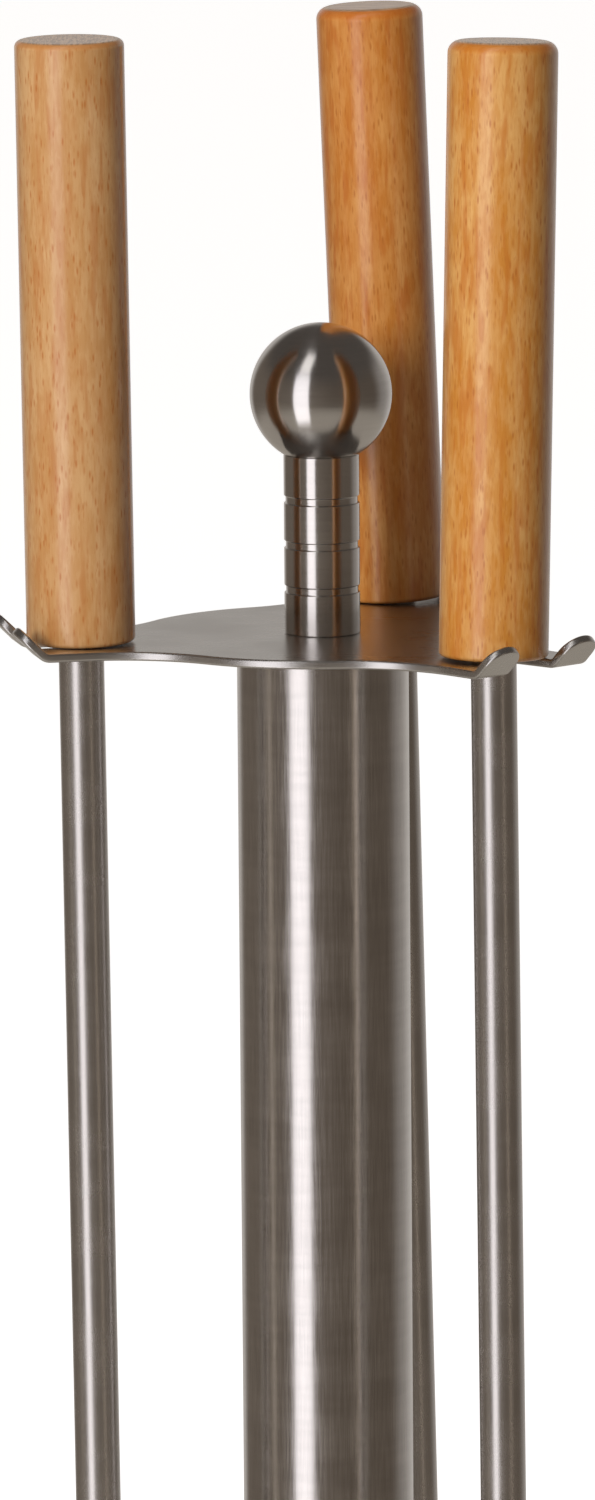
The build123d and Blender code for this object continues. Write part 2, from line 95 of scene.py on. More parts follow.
class NodeSheet:
    """A node tree being drawn up, with short calls for the nodes that the finishes share."""

    MIX_COLOURS = (6, 7)  # a Mix node's two colour inputs
    MIX_RESULT = 2  # its colour output

    def __init__(self, owner: bpy.types.Material | bpy.types.World, shader: str = "Principled BSDF") -> None:
        """Start on the tree of a new material or world.

        Args:
            owner: The material or world.
            shader: The name of the shader node that it starts with.
        """
        owner.use_nodes = True
        self.owner = owner
        self.tree = owner.node_tree
        self.shader = self.tree.nodes[shader]

    def add(self, kind: str, **inputs: object) -> bpy.types.Node:
        """Add a node and fill its inputs.

        Args:
            kind: The node type, without the leading ShaderNode.
            inputs: Values or sockets, by input name with _ for a space.

        Returns:
            The new node.
        """
        node = self.tree.nodes.new("ShaderNode" + kind)
        self.fill_named(node, inputs)
        return node

    def fill_named(self, node: bpy.types.Node, values: dict[str, object]) -> None:
        """Fill a node's inputs by name, with _ for a space."""
        for name, value in values.items():
            self.fill(node.inputs[name.replace("_", " ").title()], value)

    def fill(self, socket: bpy.types.NodeSocket, value: object) -> None:
        """Link an output socket to an input, or set the input to a plain value.

        Args:
            socket: The input.
            value: The output socket or value that it takes.
        """
        if isinstance(value, bpy.types.NodeSocket):
            self.tree.links.new(value, socket)
        else:
            socket.default_value = value

    def place(self, scale: Triple, shift: Triple = (0.0, 0.0, 0.0)) -> bpy.types.NodeSocket:
        """The piece's own coordinates.

        Args:
            scale: Pattern units per millimetre along X, Y and Z.
            shift: Where in the pattern the piece's origin falls.

        Returns:
            A vector socket.
        """
        own = self.add("TexCoord").outputs["Object"]
        per_metre = tuple(s / MM for s in scale)
        return self.add("Mapping", vector=own, scale=per_metre, location=shift).outputs[0]

    def parts(self, vector: bpy.types.NodeSocket) -> list[bpy.types.NodeSocket]:
        """A vector's X, Y and Z, as three value sockets."""
        return list(self.add("SeparateXYZ", vector=vector).outputs)

    def noise(self, vector: bpy.types.NodeSocket, detail: float = 2.0) -> bpy.types.NodeSocket:
        """Soft noise of about one pattern unit, from 0 to 1."""
        return self.add("TexNoise", vector=vector, scale=1.0, detail=detail).outputs[0]

    def reckon(self, operation: str, first: object, second: object = 0.0) -> bpy.types.NodeSocket:
        """Work out one step with a Math node.

        Args:
            operation: The node's operation.
            first: A value or socket.
            second: A value or socket, where the operation takes two.

        Returns:
            The result's socket.
        """
        node = self.add("Math")
        node.operation = operation
        self.fill(node.inputs[0], first)
        self.fill(node.inputs[1], second)
        return node.outputs[0]

    def total(self, first: object, *others: object) -> bpy.types.NodeSocket:
        """Add up values and sockets, in order.

        Args:
            first: A value or socket.
            others: The values or sockets to add to it.

        Returns:
            The total's socket.
        """
        for value in others:
            first = self.reckon("ADD", first, value)
        return first

    def product(self, first: object, second: object) -> bpy.types.NodeSocket:
        """Two values or sockets multiplied."""
        return self.reckon("MULTIPLY", first, second)

    def ramp(self, value: bpy.types.NodeSocket, start: float, end: float, low: float = 0.0,
             high: float = 1.0) -> bpy.types.NodeSocket:
        """Ease a value from low, at start, to high, at end.

        Args:
            value: The socket to read.
            start: The value where the change starts.
            end: The value where it ends.
            low: The result up to start.
            high: The result past end.

        Returns:
            The eased value's socket.
        """
        node = self.add("MapRange", value=value, from_min=start, from_max=end, to_min=low,
                        to_max=high)
        node.interpolation_type = "SMOOTHSTEP"
        return node.outputs[0]

    def tint(self, amount: object, first: object, second: object) -> bpy.types.NodeSocket:
        """Mix two colours, each a socket or a plain colour.

        Args:
            amount: How much of the second there is, from 0 to 1.
            first: The first colour.
            second: The second colour.

        Returns:
            The mixed colour's socket.
        """
        node = self.add("Mix")
        node.data_type = "RGBA"
        self.fill(node.inputs[0], amount)
        for index, value in zip(self.MIX_COLOURS, (first, second)):
            is_socket = isinstance(value, bpy.types.NodeSocket)
            self.fill(node.inputs[index], value if is_socket else (*value, 1.0))
        return node.outputs[self.MIX_RESULT]

    def relief(self, height: bpy.types.NodeSocket, depth: float) -> None:
        """Raise the surface by height times depth millimetres, as bump."""
        bump = self.add("Bump", height=height, distance=depth * MM, strength=1.0)
        self.fill(self.shader.inputs["Normal"], bump.outputs[0])

    def settle(self, **values: object) -> bpy.types.Material | bpy.types.World:
        """Fill the shader's inputs, by name with _ for a space, and return the material or world."""
        self.fill_named(self.shader, values)
        return self.owner


def new_sheet(name: str) -> NodeSheet:
    """A sheet for a new material that has only a Principled shader and its output."""
    return NodeSheet(bpy.data.materials.new(name))


class Finish:
    """What every finish gives: a node material drawn up from its own values."""

    def material(self) -> bpy.types.Material:
        """Draw up the finish as a node material. Each finish has its own way."""
        raise NotImplementedError


@dataclass(frozen=True)
class BrushedSteel(Finish):
    """Bare stainless steel with fine lines, faint smears and, where wanted, polishing marks."""

    name: str
    brushing: Brushing
    colour: Colour = (0.60, 0.575, 0.55)
    roughness: float = 0.17
    anisotropy: float = 0.45
    line_pitch: float = 0.32  # millimetres
    line_length: float = 16.0  # millimetres
    line_depth: float = 0.003  # millimetres
    line_contrast: float = 0.14
    smear_size: float = 22.0  # millimetres
    rub_contrast: float = 0.0  # of faint polishing marks that run across the lines

    def lines(self, sheet: NodeSheet) -> bpy.types.NodeSocket:
        """The fine lines' height, from 0 to 1.

        Args:
            sheet: The material being drawn up.

        Returns:
            A value socket.
        """
        fine, coarse = 1 / self.line_pitch, 1 / self.line_length
        if self.brushing is Brushing.ALONG:
            return sheet.noise(sheet.place((fine, fine, coarse)), 3.0)
        if self.brushing is Brushing.STRAIGHT:
            return sheet.noise(sheet.place((coarse, fine, fine)), 3.0)
        x, y, z = sheet.parts(sheet.place((1.0, 1.0, 1.0)))
        radius = sheet.reckon("SQRT", sheet.total(sheet.product(x, x), sheet.product(y, y)))
        rings = sheet.add("CombineXYZ", x=sheet.total(sheet.product(x, coarse), sheet.product(radius, fine)),
                          y=sheet.product(y, coarse), z=sheet.product(z, fine))
        return sheet.noise(rings.outputs[0], 3.0)

    def material(self) -> bpy.types.Material:
        """Draw up the finish as a node material.

        Returns:
            The material.
        """
        sheet = new_sheet(self.name)
        lines = self.lines(sheet)
        contrast = self.line_contrast
        slow = 1 / self.smear_size
        smear = sheet.noise(sheet.place((slow, slow, slow * 1.6), (3.0, 1.0, 7.0)), 4.0)
        shade = sheet.total(sheet.ramp(lines, 0.3, 0.7, -contrast, contrast),
                            sheet.ramp(smear, 0.3, 0.7, -0.08, 0.08))
        if self.rub_contrast:
            rubs = sheet.noise(sheet.place((0.045, 0.045, 0.4), (2.0, 5.0, 3.0)), 3.0)
            shade = sheet.total(shade, sheet.ramp(rubs, 0.3, 0.7, -self.rub_contrast, self.rub_contrast))
        dark = tuple(c * 0.8 for c in self.colour)
        pale = tuple(min(1.0, c * 1.2) for c in self.colour)
        colour = sheet.tint(sheet.total(shade, 0.5), dark, pale)
        rough = sheet.total(sheet.ramp(lines, 0.2, 0.8, contrast * -0.3, contrast * 0.35),
                            sheet.ramp(smear, 0.3, 0.7, self.roughness - 0.015, self.roughness + 0.03))
        sheet.relief(lines, self.line_depth)
        if self.anisotropy:
            tangent = sheet.add("Tangent")
            tangent.direction_type = "RADIAL"
            tangent.axis = "Z"
            sheet.fill(sheet.shader.inputs["Tangent"], tangent.outputs[0])
        quarter_turn = 0.25 if self.brushing is Brushing.AROUND else 0.0
        return sheet.settle(base_color=colour, metallic=1.0, roughness=rough,
                            anisotropic=self.anisotropy, anisotropic_rotation=quarter_turn)


@dataclass(frozen=True)
class VarnishedBeech(Finish):
    """Turned beech under satin varnish: fibres along Z, short dark flecks and a plain end grain."""

    name: str
    pale: Colour
    deep: Colour
    shift: float  # which part of the plank the piece was cut from
    fleck_tint: Colour = (0.42, 0.12, 0.01)
    end_tint: Colour = (0.56, 0.36, 0.22)

    def material(self) -> bpy.types.Material:
        """Draw up the finish as a node material.

        Returns:
            The material.
        """
        sheet = new_sheet(self.name)
        off = (self.shift, self.shift * 0.7, self.shift * 0.3)
        amber = tuple(c * k for c, k in zip(self.deep, (0.92, 0.74, 0.6)))
        fibre = sheet.noise(sheet.place((1.7, 1.7, 0.16), off), 4.0)
        marks = self.marks(sheet, off)
        upward = sheet.parts(sheet.add("TexCoord").outputs["Normal"])[2]
        wood = sheet.tint(self.figure(sheet, off, fibre), self.pale, self.deep)
        streak = sheet.noise(sheet.place((0.4, 0.4, 0.06), (7.0, 3.0, self.shift)), 2.0)
        wood = sheet.tint(sheet.ramp(streak, 0.5, 0.68, 0.0, 0.62), wood, amber)
        wood = sheet.tint(marks, wood, self.fleck_tint)
        wood = sheet.tint(sheet.ramp(upward, 0.1, 0.6, 0.0, 0.7), wood, amber)
        growth = sheet.noise(sheet.place((1.9, 0.22, 0.4), off), 3.0)
        ring_tint = tuple(c * 0.55 for c in self.end_tint)
        ends = sheet.tint(sheet.ramp(growth, 0.35, 0.65), ring_tint, self.end_tint)
        wood = sheet.tint(sheet.ramp(upward, 0.82, 0.97), wood, ends)
        rough = sheet.total(sheet.ramp(fibre, 0.25, 0.75, 0.34, 0.44), sheet.product(marks, 0.1),
                            sheet.ramp(upward, 0.8, 0.97, 0.0, 0.35))
        sheet.relief(sheet.reckon("SUBTRACT", fibre, sheet.product(marks, 0.8)), 0.03)
        return sheet.settle(base_color=wood, roughness=rough, coat_weight=1.0, coat_roughness=0.22)

    def figure(self, sheet: NodeSheet, off: Triple, fibre: bpy.types.NodeSocket) -> bpy.types.NodeSocket:
        """How deep the wood's colour is, from broad figure down to single fibres.

        Args:
            sheet: The material being drawn up.
            off: Where in the patterns the piece's origin falls.
            fibre: The fibres' noise.

        Returns:
            A value socket, 0 where the wood is palest.
        """
        broad = sheet.noise(sheet.place((0.2, 0.2, 0.022), off), 3.0)
        cloud = sheet.noise(sheet.place((0.09, 0.09, 0.035), off), 2.0)
        mottle = sheet.noise(sheet.place((0.55, 0.55, 0.16), off), 3.0)
        return sheet.total(sheet.ramp(broad, 0.4, 0.6, 0.0, 0.3), sheet.ramp(cloud, 0.42, 0.58, 0.0, 0.3),
                           sheet.ramp(mottle, 0.4, 0.6, 0.0, 0.35), sheet.ramp(fibre, 0.36, 0.64, 0.0, 0.2))

    def marks(self, sheet: NodeSheet, off: Triple) -> bpy.types.NodeSocket:
        """The short flecks and the fine pores.

        Args:
            sheet: The material being drawn up.
            off: Where in the patterns the piece's origin falls.

        Returns:
            A value socket, 0 where the wood is clear.
        """
        cells = sheet.add("TexVoronoi", vector=sheet.place((0.95, 0.95, 0.24), off), scale=1.0).outputs
        chosen = sheet.ramp(cells["Color"], 0.3, 0.6)
        fleck = sheet.product(sheet.ramp(cells["Distance"], 0.42, 0.1), chosen)
        pore = sheet.noise(sheet.place((3.0, 3.0, 0.35), off), 1.0)
        return sheet.reckon("MAXIMUM", sheet.product(fleck, 0.68), sheet.ramp(pore, 0.6, 0.76, 0.0, 0.4))


@dataclass(frozen=True)
class MatteStock(Finish):
    """A plain dull stock, such as rubber, cast iron or raw wood, with mottling and fine grain."""

    name: str
    pale: Colour
    dark: Colour
    roughness: float
    metallic: float = 0.0
    mottle_size: float = 6.0  # millimetres
    grain_size: float = 0.5  # millimetres
    grain_depth: float = 0.05  # millimetres
    stretch: float = 1.0  # how much longer the pattern is along Z

    def material(self) -> bpy.types.Material:
        """Draw up the finish as a node material.

        Returns:
            The material.
        """
        sheet = new_sheet(self.name)
        slow, fine = 1 / self.mottle_size, 1 / self.grain_size
        mottle = sheet.noise(sheet.place((slow, slow, slow / self.stretch)), 4.0)
        grain = sheet.noise(sheet.place((fine, fine, fine / self.stretch), (5.0, 2.0, 1.0)), 2.0)
        blend = sheet.total(sheet.ramp(mottle, 0.3, 0.7, 0.0, 0.6), sheet.ramp(grain, 0.3, 0.7, 0.0, 0.4))
        rough = sheet.ramp(grain, 0.2, 0.8, self.roughness - 0.08, self.roughness + 0.08)
        sheet.relief(grain, self.grain_depth)
        return sheet.settle(base_color=sheet.tint(blend, self.dark, self.pale), roughness=rough,
                            metallic=self.metallic)


@dataclass(frozen=True)
class BristleFibre(Finish):
    """Stiff natural fibre, each strand a little lighter or darker, with sooty tips."""

    name: str = "bristle_fibre"
    pale: Colour = (0.16, 0.095, 0.05)
    dark: Colour = (0.035, 0.02, 0.012)
    strand: float = 0.8  # millimetres
    tip_height: float = -135.0  # millimetres along the brush's axis
    tip_blend: float = 60.0  # millimetres

    def material(self) -> bpy.types.Material:
        """Draw up the finish as a node material.

        Returns:
            The material.
        """
        sheet = new_sheet(self.name)
        fine = 1 / self.strand
        strands = sheet.noise(sheet.place((fine, fine, 0.01)), 2.0)
        scales = sheet.noise(sheet.place((fine * 2, fine * 2, 1.5), (2.0, 4.0, 6.0)), 2.0)
        height = sheet.parts(sheet.place((1.0, 1.0, 1.0)))[2]
        sooty = sheet.ramp(height, self.tip_height + self.tip_blend, self.tip_height, 0.0, 0.6)
        colour = sheet.tint(sheet.ramp(strands, 0.3, 0.7), self.dark, self.pale)
        colour = sheet.tint(sooty, colour, self.dark)
        sheet.relief(scales, 0.04)
        return sheet.settle(base_color=colour, roughness=sheet.ramp(scales, 0.2, 0.8, 0.42, 0.6),
                            sheen_weight=0.15)


# ---------------------------------------------------------------------- mesh building


def soften(corners: list[Triple], steps: int = 6) -> list[Point]:
    """Round the corners of an outline.

    Args:
        corners: (x, y, rounding) of each corner. The first and last have no rounding.
        steps: Straight pieces in each rounding.

    Returns:
        The rounded outline's points.
    """
    points = []
    for index, (x, y, rounding) in enumerate(corners):
        here = Vector((x, y))
        if not rounding:
            points.append((x, y))
            continue
        back = (Vector(corners[index - 1][:2]) - here).normalized()
        ahead = (Vector(corners[index + 1][:2]) - here).normalized()
        half = back.angle(ahead) / 2
        middle = here + (back + ahead).normalized() * rounding / sin(half)
        start = here + back * rounding / tan(half) - middle
        end = here + ahead * rounding / tan(half) - middle
        points += arc(middle, rounding, atan2(start.y, start.x), atan2(end.y, end.x), steps)
    return points


def arc(middle: Vector, radius: float, start: float, end: float, steps: int) -> list[Point]:
    """Points on an arc that turns the shorter way.

    Args:
        middle: The arc's centre.
        radius: Its radius.
        start: The direction of its first point, in radians.
        end: The direction of its last point.
        steps: Straight pieces in it.

    Returns:
        The points, both ends included.
    """
    turn = (end - start + pi) % (2 * pi) - pi
    turns = [start + turn * step / steps for step in range(steps + 1)]
    return [(middle[0] + radius * cos(t), middle[1] + radius * sin(t)) for t in turns]


def ring(radius: float, height: float, count: int) -> list[Vector]:
    """A level ring of points round Z, or one point where the radius is nothing.

    Args:
        radius: The ring's radius in millimetres.
        height: Its height in millimetres.
        count: Points in it.

    Returns:
        The points, in millimetres.
    """
    if radius < TINY:
        return [Vector((0, 0, height))]
    turns = (2 * pi * step / count for step in range(count))
    return [Vector((radius * cos(t), radius * sin(t), height)) for t in turns]


def skin(sheet: bmesh.types.BMesh, rings: list[list[Vector]], closed: bool = False) -> None:
    """Stretch faces between rings of points.

    Args:
        sheet: The mesh that takes the faces.
        rings: The rings in order, in millimetres. A ring of one point closes an end.
        closed: Whether the last ring joins the first.
    """
    rows = [[sheet.verts.new(point * MM) for point in points] for points in rings]
    pairs = list(zip(rows, rows[1:]))
    if closed:
        pairs.append((rows[-1], rows[0]))
    for low, high in pairs:
        count = max(len(low), len(high))
        for step in range(count):
            after = (step + 1) % count
            loop = [low[i % len(low)] for i in (step, after)] + [high[i % len(high)] for i in (after, step)]
            corners = list(dict.fromkeys(loop))
            if len(corners) > 2:
                sheet.faces.new(corners)


def shaded(name: str, sheet: bmesh.types.BMesh) -> bpy.types.Mesh:
    """Turn a finished bmesh into a mesh with outward faces, smooth but for its crisp edges.

    Args:
        name: The new mesh's name.
        sheet: The bmesh, which is freed.

    Returns:
        The mesh.
    """
    bmesh.ops.recalc_face_normals(sheet, faces=sheet.faces)
    for face in sheet.faces:
        face.smooth = True
    for edge in sheet.edges:
        edge.smooth = len(edge.link_faces) == 2 and edge.calc_face_angle(0.0) < SMOOTH_LIMIT
    mesh = bpy.data.meshes.new(name)
    sheet.to_mesh(mesh)
    sheet.free()
    return mesh


def turned(name: str, outline: list[Point], count: int = 96, closed: bool = False) -> bpy.types.Mesh:
    """Turn a half outline about Z.

    Args:
        name: The mesh's name.
        outline: (radius, height) points in millimetres, from the bottom up.
        count: Faces round the axis.
        closed: Whether the outline is a loop, as a tube's is.

    Returns:
        The mesh.
    """
    sheet = bmesh.new()
    skin(sheet, [ring(radius, height, count) for radius, height in outline], closed)
    return shaded(name, sheet)


def tube_outline(inner: float, outer: float, low: float, high: float, edge: float) -> list[Point]:
    """The half outline of a tube with softened outer edges, for turned(closed=True)."""
    corners = [(inner, low, 0), (outer, low, edge), (outer, high, edge), (inner, high, 0)]
    return soften(corners, 3)


def disc_outline(radius: float, height: float, edge: float) -> list[Point]:
    """The half outline of a disc with softened edges, for turned()."""
    return soften([(0, 0, 0), (radius, 0, edge), (radius, height, edge), (0, height, 0)], 8)


def swept(name: str, path: list[Vector], radii: list[float], side: Vector,
          count: int = 32) -> bpy.types.Mesh:
    """Sweep a round section along a flat path, with domed ends.

    Args:
        name: The mesh's name.
        path: Points along the middle, in millimetres.
        radii: The section's radius at each point.
        side: The direction that the whole path is square to.
        count: Faces round the section.

    Returns:
        The mesh.
    """
    rings = []
    for index, (middle, radius) in enumerate(zip(path, radii)):
        ahead = path[min(index + 1, len(path) - 1)] - path[max(index - 1, 0)]
        out = side.cross(ahead).normalized()
        turns = (2 * pi * step / count for step in range(count))
        rings.append([middle + (side * cos(t) + out * sin(t)) * radius for t in turns])
    sheet = bmesh.new()
    skin(sheet, [[path[0]], *rings, [path[-1]]])
    return shaded(name, sheet)


def cut_from_sheet(name: str, outlines: list[list[Point]], thickness: float,
                   edge: float) -> bmesh.types.BMesh:
    """A flat sheet with rounded edges.

    Args:
        name: A name for the working curve.
        outlines: Closed outlines in millimetres; one inside another is a hole.
        thickness: The sheet's thickness in millimetres.
        edge: The rounding of its edges in millimetres.

    Returns:
        A bmesh of the sheet, level, with its middle at height 0.
    """
    curve = bpy.data.curves.new(name, "CURVE")
    curve.dimensions = "2D"
    curve.fill_mode = "BOTH"
    for outline in outlines:
        spline = curve.splines.new("POLY")
        spline.points.add(len(outline) - 1)
        for point, (x, y) in zip(spline.points, outline):
            point.co = (x * MM, y * MM, 0.0, 1.0)
        spline.use_cyclic_u = True
    curve.extrude = (thickness / 2 - edge) * MM
    curve.bevel_depth = edge * MM
    curve.bevel_resolution = 3
    curve.offset = -edge * MM
    holder = bpy.data.objects.new(name, curve)
    bpy.context.scene.collection.objects.link(holder)
    graph = bpy.context.evaluated_depsgraph_get()
    filled = bpy.data.meshes.new_from_object(holder.evaluated_get(graph))
    sheet = bmesh.new()
    sheet.from_mesh(filled)
    bmesh.ops.remove_doubles(sheet, verts=sheet.verts, dist=1e-6)
    bpy.data.objects.remove(holder)
    bpy.data.curves.remove(curve)
    bpy.data.meshes.remove(filled)
    return sheet


def add_piece(mesh: bpy.types.Mesh, material: bpy.types.Material, body: Body,
              stands_for: str, place: Matrix | None = None, flat_faces: bool = True) -> bpy.types.Object:
    """Put a finished mesh in the scene as one piece of the object.

    Args:
        mesh: The mesh, in the piece's own axes.
        material: Its finish.
        body: The CAD body that it rides on.
        stands_for: The CAD node that it replaces.
        place: Where the piece's own axes are in the object's frame.
        flat_faces: Whether large faces keep their true normals beside rounded edges.

    Returns:
        The new object.
    """
    piece = bpy.data.objects.new(mesh.name, mesh)
    bpy.context.scene.collection.objects.link(piece)
    mesh.materials.append(material)
    piece.matrix_world = place or Matrix()
    if flat_faces:
        weigh = piece.modifiers.new("true_faces", "WEIGHTED_NORMAL")
        weigh.keep_sharp = True
        weigh.weight = 100
    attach(piece, body.value)
    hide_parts(stands_for)
    log.info("%s: %d faces, rides on %s", piece.name, len(mesh.polygons), body.value)
    return piece


def dress_nodes(finish: Finish, *nodes: str) -> None:
    """Give CAD nodes that keep their shape a finish.

    Args:
        finish: The finish, which the nodes share.
        nodes: The nodes' names.
    """
    material = finish.material()
    for node in nodes:
        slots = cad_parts[node].data.materials
        slots.clear()
        slots.append(material)
        log.info("%s: CAD shape kept", node)


def raised(height: float) -> Matrix:
    """Own axes at a height in millimetres along the axis that they are placed on."""
    return Matrix.Translation((0.0, 0.0, height * MM))


def upright(node: str) -> tuple[float, float, Matrix]:
    """The size and place of a round CAD node that stands on the column's axis.

    Args:
        node: The node's name.

    Returns:
        Its radius and height in millimetres, and own axes at the middle of its foot.
    """
    low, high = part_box(node)
    size = (high - low) / MM
    return size.x / 2, size.z, raised(low.z / MM)


# ---------------------------------------------------------------------- the stand


@dataclass
class Base:
    """The weighted base: a rubber pad, a ballast disc and the spun cover over it."""

    cover_sheet: float = 1.2  # millimetres, as are all sizes here
    cover_round: float = 4.0
    skirt_edge: float = 0.3
    pad_round: float = 0.6

    def build(self) -> None:
        """Make the cover and the pad, and dress the pieces that they hide."""
        self.cover()
        self.pad()
        iron = MatteStock("ballast_iron", (0.05, 0.048, 0.046), (0.02, 0.019, 0.018), 0.6, metallic=0.6)
        dress_nodes(iron, "base_ballast")
        plated = BrushedSteel("plated_hardware", Brushing.AROUND, (0.55, 0.55, 0.54), 0.3, 0.0)
        dress_nodes(plated, "base_washer", "base_nut", "tie_rod")

    def cover(self) -> None:
        """The spun cover: a shallow pan turned upside down, with fine rings on its top."""
        outer, top, place = upright("base_cover")
        inner, inner_top = outer - self.cover_sheet, top - self.cover_sheet
        outline = soften([(TIE_ROD_HOLE, inner_top, 0),
                          (inner, inner_top, self.cover_round - self.cover_sheet),
                          (inner, 0, self.skirt_edge), (outer, 0, self.skirt_edge),
                          (outer, top, self.cover_round), (TIE_ROD_HOLE, top, 0)], 10)
        finish = BrushedSteel("spun_steel", Brushing.AROUND, roughness=0.2, anisotropy=0.6,
                              line_pitch=0.7, line_depth=0.004)
        add_piece(turned("cover_spun", outline, 192, closed=True), finish.material(), Body.STAND,
                  "base_cover", place)

    def pad(self) -> None:
        """The rubber pad that the base stands on."""
        radius, height, place = upright("floor_pad")
        outline = disc_outline(radius, height, self.pad_round)
        rubber = MatteStock("pad_rubber", (0.03, 0.03, 0.03), (0.012, 0.012, 0.012), 0.8)
        add_piece(turned("pad_disc", outline, 128), rubber.material(), Body.STAND,
                  "floor_pad", place)


@dataclass
class Column:
    """The main steel tube and the plugs and pin inside it."""

    wall: float = 1.5
    edge: float = 0.25

    def build(self) -> None:
        """Make the tube and dress the pieces inside it."""
        outer, height, place = upright("column_tube")
        outline = tube_outline(outer - self.wall, outer, 0, height, self.edge)
        finish = BrushedSteel("column_steel", Brushing.ALONG, rub_contrast=0.07)
        add_piece(turned("column_brushed", outline, 160, closed=True), finish.material(), Body.STAND,
                  "column_tube", place)
        inner = BrushedSteel("turned_plug", Brushing.AROUND, (0.5, 0.49, 0.48), 0.35, 0.0)
        dress_nodes(inner, "column_lower_plug", "column_upper_plug", "index_pin", "ball_stud")


@dataclass
class HangerPlate:
    """The three-lobed plate: a cut sheet whose two ears beside each open slot are bent up."""

    thickness: float = 2.5
    edge_round: float = 0.7
    lobe_count: int = 3
    first_lobe_angle: float = 73.0
    hub_radius: float = 54.5
    root_fillet: float = 40.0
    tool_circle_radius: float = 69.3
    seat_radius: float = 7.3
    ear_offset: float = 14.7
    ear_width: float = 12.1
    ear_straight: float = 3.2
    bend_line: float = 82.1
    bend_radius: float = 2.0  # inside the bend
    bend_angle: float = 45.0
    bend_steps: int = 9

    def build(self) -> None:
        """Make the plate with its ears bent."""
        sheet = cut_from_sheet("plate_blank", [self.outline(), self.hole()], self.thickness, self.edge_round)
        for lobe in range(self.lobe_count):
            self.bend_ears(sheet, self.lobe_turn(lobe))
        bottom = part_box("hanger_plate")[0].z
        finish = BrushedSteel("plate_steel", Brushing.STRAIGHT, (0.58, 0.565, 0.545), 0.28, 0.0,
                              line_length=30.0, line_depth=0.001, line_contrast=0.05)
        add_piece(shaded("plate_bent", sheet), finish.material(), Body.STAND,
                  "hanger_plate", raised(bottom / MM + self.thickness / 2))

    def lobe_turn(self, lobe: int) -> Matrix:
        """The turn that takes +X to a lobe's direction."""
        return Matrix.Rotation(radians(self.first_lobe_angle + lobe * 360 / self.lobe_count), 4, "Z")

    def bend_length(self) -> float:
        """The length of the bend along the middle of the sheet."""
        return radians(self.bend_angle) * (self.bend_radius + self.thickness / 2)

    def hole(self) -> list[Point]:
        """The outline of the tie rod's hole."""
        return [(p.x, p.y) for p in ring(TIE_ROD_HOLE, 0.0, 32)]

    def outline(self) -> list[Point]:
        """The flat outline, all three lobes, counterclockwise.

        Returns:
            Its points, in millimetres.
        """
        outer = self.ear_offset + self.ear_width / 2
        inner = self.ear_offset - self.ear_width / 2
        tip = self.bend_line + self.bend_length() + self.ear_straight
        root_y = outer + self.root_fillet
        root_x = sqrt((self.hub_radius + self.root_fillet) ** 2 - root_y ** 2)
        root = atan2(root_y, root_x)
        to_hub = root - pi
        upper = arc(Vector((self.tool_circle_radius, 0)), self.seat_radius, -pi, -3 * pi / 2, 12)
        upper += [(self.bend_line, inner)]
        ear_end = Vector((tip, self.ear_offset))
        upper += arc(ear_end, self.ear_width / 2, -pi / 2, 0, 12)
        upper += arc(ear_end, self.ear_width / 2, 0, pi / 2, 12)[1:]
        upper += arc(Vector((root_x, root_y)), self.root_fillet, -pi / 2, to_hub, 16)
        lower = [(x, -y) for x, y in reversed(upper)]
        lobe = lower + upper[1:]
        next_root = 2 * pi / self.lobe_count - root
        lobe += arc(Vector((0, 0)), self.hub_radius, root, next_root, 12)[1:-1]
        points = []
        for index in range(self.lobe_count):
            turn = self.lobe_turn(index)
            spun = [turn @ Vector((x, y, 0)) for x, y in lobe]
            points += [(p.x, p.y) for p in spun]
        return points

    def bend_ears(self, sheet: bmesh.types.BMesh, turn: Matrix) -> None:
        """Bend one lobe's two ears up.

        Args:
            sheet: The flat plate.
            turn: The turn that takes +X to the lobe's direction.
        """
        back = turn.inverted()
        length = self.bend_length()
        half_width = (self.ear_offset + self.ear_width) * MM
        ahead = turn @ Vector((1, 0, 0))

        def in_ear(vertex: bmesh.types.BMVert) -> bool:
            """Whether a vertex is on this lobe, past the start of its bend."""
            own = back @ vertex.co
            return own.x > (self.bend_line - self.edge_round) * MM and abs(own.y) < half_width

        for step in range(self.bend_steps + 1):
            faces = [f for f in sheet.faces if any(in_ear(v) for v in f.verts)]
            edges = {e for f in faces for e in f.edges}
            verts = {v for f in faces for v in f.verts}
            at = (self.bend_line + length * step / self.bend_steps) * MM
            bmesh.ops.bisect_plane(sheet, geom=[*verts, *edges, *faces], dist=1e-7, plane_co=ahead * at,
                                   plane_no=ahead)
        for vertex in sheet.verts:
            own = back @ vertex.co / MM
            if own.x > self.bend_line and abs(own.y) * MM < half_width:
                vertex.co = turn @ (self.bent(own) * MM)

    def bent(self, point: Vector) -> Vector:
        """Where a point of the flat ear goes, in the lobe's axes and millimetres.

        Args:
            point: The point on the flat ear, its height measured from the sheet's middle.

        Returns:
            The point on the bent ear.
        """
        middle = self.bend_radius + self.thickness / 2
        along = point.x - self.bend_line
        swing = min(along / middle, radians(self.bend_angle))
        past = max(0.0, along - self.bend_length())
        reach = (middle - point.z) * sin(swing) + past * cos(swing)
        rise = middle - (middle - point.z) * cos(swing) + past * sin(swing)
        return Vector((self.bend_line + reach, point.y, rise))


